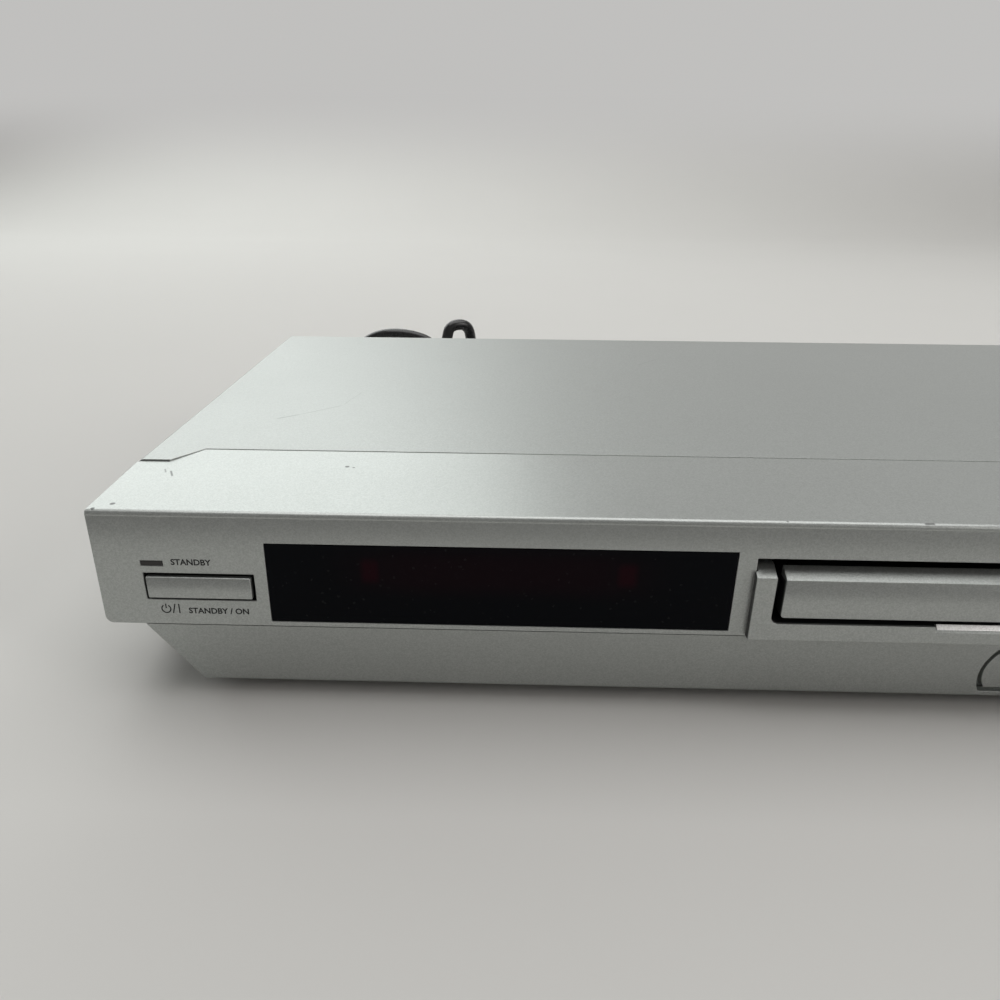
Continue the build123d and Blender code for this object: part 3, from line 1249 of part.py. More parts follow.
def pickup():
    """Optical block: body on the guide rods, rack on the left, lens holder above."""
    middle = SPINDLE_Y + PICKUP_INNER
    front = SPINDLE_Y + TURNTABLE_RADIUS + 0.7
    rear = middle + 13
    top = PICKUP_Z[1]
    body = block((TRAY_X - PICKUP_HALF, TRAY_X + PICKUP_HALF), (front, rear), PICKUP_Z)
    body = fillet(body.edges().filter_by(Axis.Z).group_by(Axis.Y)[-1], 4)
    along = (front - 1, rear + 1)
    body -= drum_y(TRAY_X + GUIDE_X, GUIDE_Z, along, GUIDE_RADIUS + RUNNING)
    open_side = (TRAY_X - PICKUP_HALF - 1, TRAY_X - GUIDE_X + GUIDE_RADIUS + 0.5)
    body -= block(open_side, along, (GUIDE_Z - GUIDE_RADIUS - RUNNING, GUIDE_Z + GUIDE_RADIUS + 0.4))
    body += block((TRAY_X - 9, TRAY_X + 9), (middle - 8, middle + 10), (top - 0.1, top + 2))
    body -= drum(TRAY_X, middle, (top - 1, top + 3), LENS_RING + FIT)
    rack_line = TRAY_X + FEED_RACK_X
    rack_back = rack_line + 3
    start = FEED_Y - PICKUP_TRAVEL - 1.5 * pi * FEED_MODULE
    points = rack_points(FEED_MODULE, FEED_RACK_TEETH, rack_line, start, -1, rack_back)
    rack = prism_z(points, (FEED_Z[0] - 0.2, FEED_Z[1] + 0.2))
    arm = block((rack_line + 1.5, TRAY_X - PICKUP_HALF + 1), (front + 1, rear - 2), (FEED_Z[1], top))
    arm += block((rack_line + 1.2, rack_back), (front + 1, rear - 2), (FEED_Z[1] - 0.3, top - 1))
    return body + rack + arm


def objective_lens():
    """Lens in its ring, floating in the holder's bore."""
    middle = SPINDLE_Y + PICKUP_INNER
    floor = PICKUP_Z[1] - 0.8
    top = PICKUP_Z[1] + 2
    inner = LENS_RING - 0.7
    profile = [(0, floor), (LENS_RING, floor), (LENS_RING, top + 0.6)]
    profile += [(inner, top + 0.6), (inner, top), (0, top)]
    face = make_face(Polyline(*[(r, 0, z) for r, z in profile], close=True))
    ring = Pos(TRAY_X, middle, 0) * revolve(face, Axis.Z)
    dome = Pos(TRAY_X, middle, top - 4.6) * Sphere(5.2)
    return ring + (dome & drum(TRAY_X, middle, (top - 0.1, top + 1), 2.4))


def feed_gear():
    body = gear(FEED_MODULE, FEED_TEETH, FEED_X, FEED_Y, FEED_Z, FEED_TURN)
    body += drum(FEED_X, FEED_Y, (TRAVERSE_BOTTOM + LOADER_WALL + 0.2, FEED_Z[0] + 0.1), FEED_POST * 2)
    return body - drum(FEED_X, FEED_Y, (TRAVERSE_BOTTOM, FEED_Z[1] + 1), FEED_POST + RUNNING)


def feed_pinion():
    pinion = gear(FEED_MODULE, PINION_TEETH, FEED_MOTOR_X, FEED_MOTOR_Y, FEED_Z, FEED_PINION_TURN)
    return pinion + drum(FEED_MOTOR_X, FEED_MOTOR_Y, (TRAVERSE_BOTTOM - 3, FEED_Z[0] + 0.1), MOTOR_SHAFT)


def feed_motor():
    base = TRAVERSE_BOTTOM
    can = drum(FEED_MOTOR_X, FEED_MOTOR_Y, (base - 6.5, base), 7.5)
    can += drum(FEED_MOTOR_X, FEED_MOTOR_Y, (base - 0.1, base + 2.4), FEED_BOSS)
    return can - drum(FEED_MOTOR_X, FEED_MOTOR_Y, (base - 3.5, base + 3), MOTOR_SHAFT + RUNNING)


def clamper_bridge():
    """Pressed steel bridge over the tray, flanged, with the clamper's hole."""
    y = (SPINDLE_Y - BRIDGE_HALF, SPINDLE_Y + BRIDGE_HALF)
    through = (SIDE_TOP - 1, SIDE_TOP + 2)
    plate = block((TRAY_X - LOADER_HALF, TRAY_X + LOADER_HALF), y, (SIDE_TOP, SIDE_TOP + BRIDGE_THICK))
    half = LOADER_HALF - 6
    for front in (y[0], y[1] - SHEET):
        lip = (SIDE_TOP + BRIDGE_THICK - 0.1, SIDE_TOP + 3.5)
        plate += block((TRAY_X - half, TRAY_X + half), (front, front + SHEET), lip)
    for side in (-1, 1):
        window = sorted((TRAY_X + side * 28, TRAY_X + side * 50))
        plate -= block(window, (SPINDLE_Y - 9, SPINDLE_Y + 9), through)
    return plate - drum(TRAY_X, SPINDLE_Y, through, CLAMPER_NECK + 0.6)


def clamper():
    """Disc clamper: pad below the bridge, neck through it, flange and magnet cap above."""
    bottom = TURNTABLE_TOP + 1.4
    profile = [
        (0, bottom + 1),
        (7.8, bottom + 1),
        (8.6, bottom),
        (CLAMPER_RADIUS, bottom),
        (CLAMPER_RADIUS, SIDE_TOP - 1.4),
        (CLAMPER_NECK, SIDE_TOP - 0.6),
        (CLAMPER_NECK, SIDE_TOP + BRIDGE_THICK + FIT),
        (CLAMPER_RADIUS - 1, SIDE_TOP + BRIDGE_THICK + FIT),
        (CLAMPER_RADIUS - 1, SIDE_TOP + 2.6),
        (6.0, SIDE_TOP + 3.2),
        (0, SIDE_TOP + 3.2),
    ]
    face = make_face(Polyline(*[(r, 0, z) for r, z in profile], close=True))
    return Pos(TRAY_X, SPINDLE_Y, 0) * revolve(face, Axis.Z)


# Circuit boards

def drilled_board(x, y, holes):
    board = block(x, y, (BOARD_Z, BOARD_Z + BOARD))
    for hx, hy in holes:
        board -= drum(hx, hy, (BOARD_Z - 1, BOARD_Z + BOARD + 1), SCREW_HOLE)
    return board


def board_corners(x, y, short=0):
    """Screw places near a board's corners; short draws the right rear one forward."""
    inset = SCREW_INSET
    places = [(px, py) for px in (x[0] + inset, x[1] - inset) for py in (y[0] + inset, y[1] - inset)]
    places[-1] = (places[-1][0], places[-1][1] - short)
    return places


def power_screw_places():
    return board_corners(POWER_X, POWER_Y)


def main_screw_places():
    return board_corners(MAIN_X, MAIN_Y, SCREW_FORWARD)


def board_standoffs():
    places = power_screw_places() + main_screw_places()
    return [drum(x, y, (PAN_BOTTOM + SHEET, BOARD_Z), STANDOFF_RADIUS) for x, y in places]


def board_screws():
    places = power_screw_places() + main_screw_places()
    return [screw_down(x, y, BOARD_Z, BOARD_Z + BOARD) for x, y in places]


def power_board():
    return drilled_board(POWER_X, POWER_Y, power_screw_places())


def main_board():
    return drilled_board(MAIN_X, MAIN_Y, main_screw_places())


def mains_transformer():
    """Ferrite core round a wound bobbin."""
    top = BOARD_Z + BOARD
    x, y = POWER_X[0] + 56, POWER_Y[0] + 52
    core = block((x - 14, x + 14), (y - 12, y + 12), (top + 3, top + 26))
    core -= block((x - 9, x + 9), (y - 13, y + 13), (top + 7, top + 22))
    bobbin = block((x - 8.6, x + 8.6), (y - 15, y + 15), (top + 7.4, top + 21.6))
    base = block((x - 15, x + 15), (y - 15, y + 15), (top, top + 3))
    return core + base + bobbin + block((x - 9, x + 9), (y - 5, y + 5), (top + 6, top + 8))


def capacitors():
    """Standing electrolytic capacitors, large on the mains side and small after it."""
    power = [(24, 62, 9, 32), (88, 34, 5, 18), (88, 49, 5, 18), (88, 64, 5, 20), (98, 82, 4, 12)]
    main = [(12, 18, 4, 12), (24, 18, 4, 12)]
    top = BOARD_Z + BOARD
    cans = []
    for left, front, sizes in ((POWER_X[0], POWER_Y[0], power), (MAIN_X[0], MAIN_Y[0], main)):
        for x, y, radius, height in sizes:
            can = drum(left + x, front + y, (top, top + height), radius)
            cans.append(fillet(can.edges().group_by(Axis.Z)[-1], 0.8))
    return cans


def mains_filter():
    """Choke, film capacitor, fuse in its clips and the cord's board connector."""
    top = BOARD_Z + BOARD
    left, front, rear = POWER_X[0], *POWER_Y
    fuse = drum_x(rear - 14, top + 4.5, (left + 16, left + 36), 2.6)
    for x in (left + 16, left + 33.5):
        fuse += block((x, x + 2.5), (rear - 17, rear - 11), (top, top + 6))
    choke = block((left + 38, left + 56), (rear - 30, rear - 12), (top, top + 16))
    film = block((left + 6, left + 19), (front + 24, front + 50), (top, top + 12))
    plug = block((left + 2, left + 12), (rear - 38, rear - 20), (top, top + 9))
    return [fuse, choke, film, plug]


def heatsinks():
    """Finned plates that stand beside the power switch and the regulator."""
    tall = (BOARD_Z + BOARD, BOARD_Z + BOARD + 28)
    y = POWER_Y[0] + 12
    sinks = []
    for left, length in ((POWER_X[0] + 10, 40), (POWER_X[0] + 71, 30)):
        sink = block((left, left + length), (y, y + 2), tall)
        for index in range(FIN_COUNT):
            fin = left + index * (length - FIN_THICK) / (FIN_COUNT - 1)
            sink += block((fin, fin + FIN_THICK), (y - 5, y + 0.1), tall)
        sinks.append(sink)
    return sinks


def main_chips():
    """Flat chips and the board's connectors."""
    top = BOARD_Z + BOARD
    left, right = MAIN_X
    middle = MAIN_MIDDLE
    front = MAIN_Y[0]
    plug_y = (front + 4, front + 9)
    chips = [block((middle - 10, middle + 16), (front + 26, front + 52), (top, top + 2.4))]
    chips.append(block((right - 20, right - 8), (front + 32, front + 54), (top, top + 1.6)))
    chips.append(block((left + 12, left + 24), (front + 40, front + 58), (top, top + 1.6)))
    chips.append(block((left + 10, left + 26), plug_y, (top, top + PLUG_TALL)))
    chips.append(block((middle, middle + 26), plug_y, (top, top + PLUG_TALL)))
    return chips


def display_tube():
    """Glass display module between its board and the window."""
    left, right = DISPLAY_LEFT + 10.85, DISPLAY_RIGHT - 10.85
    glass_back = WALL + 7.5
    tube = block((left, right), (WALL + 1.8, glass_back), (DISPLAY_BOTTOM + 1.5, DISPLAY_TOP - 1))
    return tube + block(
        (left - 3, right + 3), (glass_back, BOARD_Y), (DISPLAY_BOTTOM + 0.5, DISPLAY_TOP + 0.5)
    )


def front_boards():
    """Display board, key board and the small board behind the chin key."""
    y = (BOARD_Y, BOARD_Y + BOARD)
    side = HALF - FRONT_BOARD_MARGIN
    display = block((-side, DISPLAY_RIGHT + SEAT), y, (DISPLAY_BOTTOM + 1.2, FRONT_BOARD_TOP))
    keys = block((KEY_ROW_LEFT - 1.35, side), y, (KEY_BOTTOM - 3.7, FRONT_BOARD_TOP))
    z = (POCKET_BOTTOM + POCKET_TOP) / 2
    half = POCKET_HALF + 1
    small = block((TRAY_X - half, TRAY_X + half), y, (PAN_BOTTOM + SHEET, z + 5.5))
    return [display, keys, small]


def tact_switches():
    """Push switches behind the keys, soldered to the front boards."""
    places = [(x, (low + high) / 2) for _, x, low, high in key_places()]
    places.append((TRAY_X, (POCKET_BOTTOM + POCKET_TOP) / 2))
    half = SWITCH_SIDE / 2
    y = (BOARD_Y - SWITCH_DEPTH + KEY_TRAVEL + 0.1, BOARD_Y)
    return [block((x - half, x + half), y, (z - half, z + half)) for x, z in places]


def ribbon_cables():
    """Flat cables: pickup to main board, key board to main board."""
    top = BOARD_Z + BOARD + PLUG_TALL
    side = TRAY_X + LOADER_HALF
    back = BOARD_Y + BOARD
    front = MAIN_Y[0]
    end = MAIN_X[0] + 21
    key_ribbon = prism_x(
        [
            (back, 34),
            (back, 35),
            (back + 7.4, 35),
            (front - 8, top + 2),
            (front + 6, top + 2),
            (front + 6, top),
            (front + 5, top),
            (front + 5, top + 1),
            (front - 8.4, top + 1),
            (back + 7, 34),
        ],
        (MAIN_MIDDLE + 2, MAIN_MIDDLE + 24),
    )
    link = prism_y(
        [
            (side + 0.2, 30),
            (side + 0.2, 31),
            (side + 2, 31),
            (side + 12, top + 1.6),
            (end, top + 1.6),
            (end, top),
            (end - 1, top),
            (end - 1, top + 0.6),
            (side + 11.6, top + 0.6),
            (side + 1.8, 30),
        ],
        (front + 4, front + 9),
    )
    return [key_ribbon, link]


def cord_gland():
    """Snap-in gland: collar outside, neck through the panel, tapered ribbed sleeve."""
    profile = [
        (CORD_RADIUS, PANEL_FACE - 4),
        (GLAND_NECK + 1.2, PANEL_FACE - 4),
        (GLAND_NECK, PANEL_FACE - 0.2),
        (GLAND_NECK, REAR_FACE + 0.1),
        (GLAND_NECK + 1.6, REAR_FACE + 0.1),
        (GLAND_NECK + 1.6, REAR_FACE + 2.2),
        (SLEEVE_BIG, REAR_FACE + 2.2),
        (SLEEVE_SMALL, REAR_FACE + SLEEVE_LENGTH),
        (CORD_RADIUS, REAR_FACE + SLEEVE_LENGTH),
    ]
    face = make_face(Polyline(*[(r, y, 0) for r, y in profile], close=True))
    return Pos(GLAND_X, 0, GLAND_Z) * revolve(face, Axis.Y)


# Mains cord, gland to plug

def bend_radii(points):
    """Radius of the arc at each inner point: 0.45 of the shorter run over tan(half the turn)."""
    corners = [Vector(*point) for point in points]
    radii = []
    for before, here, after in zip(corners, corners[1:], corners[2:]):
        first = here - before
        second = after - here
        half_turn = radians(first.get_angle(second)) / 2
        radii.append(0.45 * min(first.length, second.length) / tan(half_turn))
    return radii


def cord_tube(name, points):
    """Round tube along straight runs joined by tangent arcs."""
    radii = bend_radii(points)
    path = FilletPolyline(*points, radius=radii)
    section = Plane(origin=path @ 0, z_dir=path % 0) * Circle(CORD_RADIUS)
    tube = sweep(section, path)
    expected = pi * CORD_RADIUS**2 * path.length
    print(name, "length", round(path.length, 1), "radii", [round(radius, 1) for radius in radii])
    print(name, "volume over section times length", round(tube.volume / expected, 4))
    return tube


def hank_lanes():
    """Offsets of the hank's runs from its middle line: in by half a step a run, then out."""
    inward = [HANK_HALF - index * HANK_STEP / 2 for index in range(HANK_RUNS_IN + 1)]
    outward = inward[-2:-HANK_RUNS_OUT - 2:-1]
    return [offset if index % 2 == 0 else -offset for index, offset in enumerate(inward + outward)]


def hank_path():
    """Flat oval loops in two layers; the climb is an S of two arcs along one run."""
    low = HANK_BASE + CORD_RADIUS
    high = low + HANK_STEP
    lanes = hank_lanes()
    edges = []
    for index, lane in enumerate(lanes):
        heading = 1 if index % 2 == 0 else -1
        start, end = (HANK_LEFT, HANK_RIGHT) if heading > 0 else (HANK_RIGHT, HANK_LEFT)
        y = HANK_Y + lane
        z = low if index < HANK_RUNS_IN else high
        if index == HANK_RUNS_IN:
            middle = ((start + end) / 2, y, (low + high) / 2)
            first = TangentArc((start, y, low), middle, tangent=(heading, 0, 0))
            second = TangentArc(middle, (end, y, high), tangent=first % 1)
            edges += [first, second]
            z = high
        else:
            edges.append(Line((start, y, z), (end, y, z)))
        if index + 1 < len(lanes):
            y_next = HANK_Y + lanes[index + 1]
            reach = end + heading * abs(y - y_next) / 2
            edges.append(ThreePointArc((end, y, z), (reach, (y + y_next) / 2, z), (end, y_next, z)))
    return Wire(edges)


def least_gap(path, diameter):
    """Smallest surface gap between stretches that lie more than six diameters apart."""
    count = int(path.length / 2.0)
    spots = [path @ (index / count) for index in range(count + 1)]
    apart = int(6 * diameter / 2.0)
    least = min(
        (spots[one] - spots[two]).length for one in range(count) for two in range(one + apart, count + 1)
    )
    return least - diameter


def cord_hank():
    path = hank_path()
    print("cord_hank length", round(path.length, 1), "least gap", round(least_gap(path, 2 * CORD_RADIUS), 2))
    section = Plane(origin=path @ 0, z_dir=path % 0) * Circle(CORD_RADIUS)
    tube = sweep(section, path)
    expected = pi * CORD_RADIUS**2 * path.length
    print("cord_hank volume over section times length", round(tube.volume / expected, 4))
    return tube


def cord_lead():
    return cord_tube("cord_lead", LEAD_ROUTE)


def cord_tail():
    return cord_tube("cord_tail", TAIL_ROUTE)


def cord_tie():
    """Flat tie round the front bundle of the hank."""
    inner_lane = HANK_HALF - 3 * HANK_STEP / 2
    outer_lane = HANK_HALF - HANK_STEP / 2
    y = (HANK_Y - outer_lane - CORD_RADIUS - 0.3, HANK_Y - inner_lane + CORD_RADIUS + 0.3)
    z = (TIE_THICK, HANK_BASE + 2 * CORD_RADIUS + HANK_STEP + 0.3)
    x = (HANK_LEFT + HANK_RIGHT) / 2
    outer = block((x - 2, x + 2), (y[0] - TIE_THICK, y[1] + TIE_THICK), (0, z[1] + TIE_THICK))
    outer = fillet(outer.edges().filter_by(Axis.X), 3.0)
    inner = block((x - 3, x + 3), y, z)
    inner = fillet(inner.edges().filter_by(Axis.X), 2.4)
    return outer - inner


def mains_plug():
    """Flat two-pin plug: lofted body, grip shoulders, cord sleeve and round pins."""
    x, y, z = TAIL_ROUTE[-1]
    sections = []
    for reach, width, thick in PLUG_SECTIONS:
        plane = Plane(origin=(x + reach, y, z), x_dir=(0, 1, 0), z_dir=(1, 0, 0))
        sections.append(plane * RectangleRounded(width, thick, thick * 0.32))
    body = loft(sections, ruled=True)
    face = x + PLUG_SECTIONS[-1][0]
    for side in (-1, 1):
        pin = drum_x(y + side * PLUG_PIN_PITCH / 2, z, (face - 1, face + PLUG_PIN_LENGTH), PLUG_PIN_RADIUS)
        pin = fillet(pin.edges().group_by(Axis.X)[-1], PLUG_PIN_RADIUS * 0.6)
        body += pin
    return body


if __name__ == "__main__":
    save("top_cover", top_cover())
    save("cover_screws", *cover_screws())
    save("front_panel", front_panel())
    save("tray_surround", tray_surround())
    save("chin_trim", chin_trim())
    save("open_key", open_key())
    for key_name, key_x, key_low, key_high in key_places():
        save(key_name + "_key", fascia_key(key_x, key_low, key_high))
    save("display_window", display_window())
    save("standby_lens", standby_lens())
    save("tray_door", tray_door())
    save("tray", tray())
    save("chassis_pan", chassis_pan())
    save("rear_panel", rear_panel())
    save("rca_jacks", *rca_jacks())
    save("jack_housing", jack_housing())
    save("side_sockets", *side_sockets())
    save("feet", *feet())
    save("foot_pads", *foot_pads())
    save("loader_frame", loader_frame())
    save("standoffs", *loader_posts(), *board_standoffs())
    save("inner_screws", *loader_screws(), *board_screws())
    save("drive_gear", drive_gear())
    save("pulley_gear", pulley_gear())
    save("motor_pulley", motor_pulley())
    save("loading_motor", loading_motor())
    save("drive_belt", drive_belt())
    save("cam_slider", cam_slider())
    save("traverse_frame", traverse_frame())
    save("guide_rods", *guide_rods())
    save("spindle_motor", spindle_motor())
    save("turntable", turntable())
    save("pickup", pickup())
    save("objective_lens", objective_lens())
    save("feed_gear", feed_gear())
    save("feed_pinion", feed_pinion())
    save("feed_motor", feed_motor())
    save("clamper_bridge", clamper_bridge())
    save("clamper", clamper())
    save("power_board", power_board())
    save("main_board", main_board(), *main_chips())
    save("mains_transformer", mains_transformer())
    save("capacitors", *capacitors())
    save("mains_filter", *mains_filter())
    save("heatsinks", *heatsinks())
    save("display_tube", display_tube())
    save("front_boards", *front_boards())
    save("tact_switches", *tact_switches())
    save("ribbon_cables", *ribbon_cables())
    save("cord_gland", cord_gland())
    save("cord_lead", cord_lead())
    save("cord_hank", cord_hank())
    save("cord_tail", cord_tail())
    save("cord_tie", cord_tie())
    save("mains_plug", mains_plug())
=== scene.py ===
import json
import math

import bmesh
import bpy
from mathutils import Matrix, Vector


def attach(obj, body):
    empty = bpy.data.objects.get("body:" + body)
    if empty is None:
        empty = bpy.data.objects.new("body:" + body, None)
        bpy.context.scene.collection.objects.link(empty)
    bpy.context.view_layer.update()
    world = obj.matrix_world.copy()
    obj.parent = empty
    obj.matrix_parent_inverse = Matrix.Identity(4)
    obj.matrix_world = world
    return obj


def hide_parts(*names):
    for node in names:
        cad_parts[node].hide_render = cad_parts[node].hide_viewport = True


# A slim silver disc player on a pale floor. Lengths are written in millimetres from
# the fascia's front face, as its maker would, and at() turns them into the frame's metres.

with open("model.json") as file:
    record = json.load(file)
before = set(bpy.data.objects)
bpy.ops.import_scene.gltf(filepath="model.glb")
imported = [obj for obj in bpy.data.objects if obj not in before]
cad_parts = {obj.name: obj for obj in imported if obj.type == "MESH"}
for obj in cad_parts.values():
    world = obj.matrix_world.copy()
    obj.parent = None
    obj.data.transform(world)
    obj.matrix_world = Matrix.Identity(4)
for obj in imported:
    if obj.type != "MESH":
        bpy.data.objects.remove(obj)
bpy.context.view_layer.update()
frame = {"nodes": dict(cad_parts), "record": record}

FRONT_TO_FRAME = -109.55
REAR_FACE = 199.2
TRAY_X = 27.1
CORD_WIDTH = 5.5
GLAND_END = (-160.0, 221.2, 22.0)
LIP_TOP = 56.5
LIP_ROUND = 1.0
LIP_SWELL = 1.4
FASCIA_TOP_DEPTH = 41.5
FASCIA_TOP_LIFT = 0.5
PLUG_NOSE = -69.0
JACK_X = (200.0, 186.0, 172.0)
JACK_Z = (21.0, 35.0)
KEY_PROUD = 0.7
KEY_SHRINK = 0.28
KEY_EDGE = 0.3
KEY_FLANGE_FRONT = 2.5
NOTCH_TOP = 29.3
NOTCH_HALF = 33.0
NOTCH_BACK = -0.4
STRIP_HALF = 31.6
STRIP_FRONT = (-1.50, 28.17)
STRIP_BACK = (-0.45, 29.22)
STRIP_THICK = 0.07
INK = 0.02
STROKE_SWELL = 0.028


def at(x, y, z):
    """A place in the frame, in metres, from millimetres behind the fascia's face."""
    return Vector((x, y + FRONT_TO_FRAME, z)) / 1000


# Camera

def make_camera():
    """Stands where the photograph was taken: above the left end, looking down and across."""
    focal, middle_x, middle_y = 785.217, 482.224, 496.622
    pitch, yaw, roll = (math.radians(angle) for angle in (23.231, -1.412, 0.43))
    ahead = Vector((math.sin(yaw) * math.cos(pitch), math.cos(yaw) * math.cos(pitch), -math.sin(pitch)))
    level = Vector((math.cos(yaw), -math.sin(yaw), 0))
    below = ahead.cross(level)
    right = level * math.cos(roll) - below * math.sin(roll)
    up = -(level * math.sin(roll) + below * math.cos(roll))
    data = bpy.data.cameras.new("camera")
    data.sensor_width = 36
    data.lens = focal * data.sensor_width / 1000
    data.shift_x = (500 - middle_x) / 1000
    data.shift_y = (middle_y - 500) / 1000
    data.clip_start = 0.01
    camera = bpy.data.objects.new("camera", data)
    turn = Matrix((right, up, -ahead)).transposed().to_4x4()
    camera.matrix_world = Matrix.Translation(at(-115.139, -173.135, 136.325)) @ turn
    bpy.context.collection.objects.link(camera)
    bpy.context.scene.camera = camera


# Materials

class Value:
    """A number that varies over a surface. Arithmetic on it adds the nodes that work it out."""

    def __init__(self, finish, socket):
        self.finish = finish
        self.socket = socket

    def maths(self, operation, *others, first=None):
        inputs = [self if first is None else first, *others]
        settings = {"operation": operation}
        return self.finish.add("ShaderNodeMath", settings, dict(enumerate(inputs)))

    def __add__(self, other):
        return self.maths("ADD", other)

    def __sub__(self, other):
        return self.maths("SUBTRACT", other)

    def __rsub__(self, other):
        return self.maths("SUBTRACT", self, first=other)

    def __mul__(self, other):
        return self.maths("MULTIPLY", other)

    def __pow__(self, other):
        return self.maths("POWER", other)

    def __abs__(self):
        return self.maths("ABSOLUTE")

    __radd__ = __add__
    __rmul__ = __mul__

    def least(self, other):
        return self.maths("MINIMUM", other)

    def most(self, other):
        return self.maths("MAXIMUM", other)

    def wrap(self, pitch):
        """Saw-tooth from 0 to the pitch, again and again."""
        return self.maths("FLOORED_MODULO", pitch)

    def ease(self, low, high, start=0.0, end=1.0):
        """Smooth change from start to end as the value goes from low to high."""
        inputs = {"Value": self, "From Min": low, "From Max": high, "To Min": start, "To Max": end}
        return self.finish.add("ShaderNodeMapRange", {"interpolation_type": "SMOOTHSTEP"}, inputs)


class Finish:
    """A material in the making."""

    def __init__(self, name, colour, roughness, metallic=0.0, coat=0.0, coat_roughness=0.1):
        self.material = bpy.data.materials.new(name)
        self.material.use_nodes = True
        self.nodes = self.material.node_tree.nodes
        self.links = self.material.node_tree.links
        self.shader = self.nodes["Principled BSDF"]
        self.material.diffuse_color = (*colour, 1)
        self.paint("Base Color", (*colour, 1))
        self.paint("Roughness", roughness)
        self.paint("Metallic", metallic)
        self.paint("Coat Weight", coat)
        self.paint("Coat Roughness", coat_roughness)
        self.place = self.add("ShaderNodeTexCoord", output="Object")

    def join(self, socket, value):
        if isinstance(value, Value):
            self.links.new(value.socket, socket)
        else:
            socket.default_value = value

    def add(self, kind, settings=None, inputs=None, output=0):
        """Adds a node, sets it up, fills its sockets and returns one of its outputs."""
        node = self.nodes.new(kind)
        for key, value in (settings or {}).items():
            if key == "stops":
                for index, (position, shade) in enumerate(value):
                    stops = node.color_ramp.elements
                    stop = stops[index] if index < len(stops) else stops.new(position)
                    stop.position = position
                    stop.color = (*shade, 1)
            else:
                setattr(node, key, value)
        for key, value in (inputs or {}).items():
            self.join(node.inputs[key], value)
        return Value(self, node.outputs[output])

    def paint(self, socket, value):
        self.join(self.shader.inputs[socket], value)

    def axis(self, index):
        """One of the object's coordinates in millimetres, Y from the fascia's face."""
        if not hasattr(self, "split"):
            self.split = self.add("ShaderNodeSeparateXYZ", inputs={0: self.place}).socket.node
        value = Value(self, self.split.outputs[index]) * 1000
        return value - FRONT_TO_FRAME if index == 1 else value

    def noise(self, size, detail=2.0, stretch=(1, 1, 1), rough=0.5):
        """Soft random value between 0 and 1, with patches about that many millimetres wide."""
        where = self.place
        if stretch != (1, 1, 1):
            where = self.add("ShaderNodeMapping", inputs={"Vector": self.place, "Scale": stretch})
        inputs = {"Vector": where, "Scale": 1000 / size, "Detail": detail, "Roughness": rough}
        return self.add("ShaderNodeTexNoise", inputs=inputs)

    def flakes(self, size):
        """Random value between 0 and 1 for each of many small cells."""
        inputs = {"Vector": self.place, "Scale": 1000 / size}
        cells = self.add("ShaderNodeTexVoronoi", inputs=inputs, output="Color")
        return self.add("ShaderNodeSeparateColor", inputs={0: cells})

    def mix(self, mask, before, after):
        """Colour that goes from one to another as the mask goes from 0 to 1."""
        settings = {"data_type": "RGBA"}
        pads = [value if isinstance(value, Value) else (*value, 1) for value in (before, after)]
        return self.add("ShaderNodeMix", settings, {0: mask, 6: pads[0], 7: pads[1]}, output=2)

    def raise_surface(self, height, distance, strength=1.0):
        """Gives the surface small relief: height 0 to 1 over that distance in millimetres."""
        inputs = {"Height": height, "Distance": distance / 1000, "Strength": strength}
        self.paint("Normal", self.add("ShaderNodeBump", inputs=inputs))

    def facing_front(self, face, reach):
        """Mask of what lies no deeper than a reach behind a face, from its distance behind y = 0."""
        return self.axis(1).ease(face + reach * 0.6, face + reach, 1, 0)

    def line(self, across, along, start, end, width, wobble):
        """Mask of a thin scratch between two points in the plane of two coordinates."""
        dx, dy = end[0] - start[0], end[1] - start[1]
        length = math.hypot(dx, dy)
        ux, uy = dx / length, dy / length
        run = (across - start[0]) * ux + (along - start[1]) * uy
        off = abs((across - start[0]) * uy - (along - start[1]) * ux + wobble)
        inside = run.ease(0, length * 0.2) * run.ease(length * 0.8, length, 1, 0)
        return off.ease(width * 0.3, width, 1, 0) * inside


def shade(colour, factor):
    return tuple(channel * factor for channel in colour)


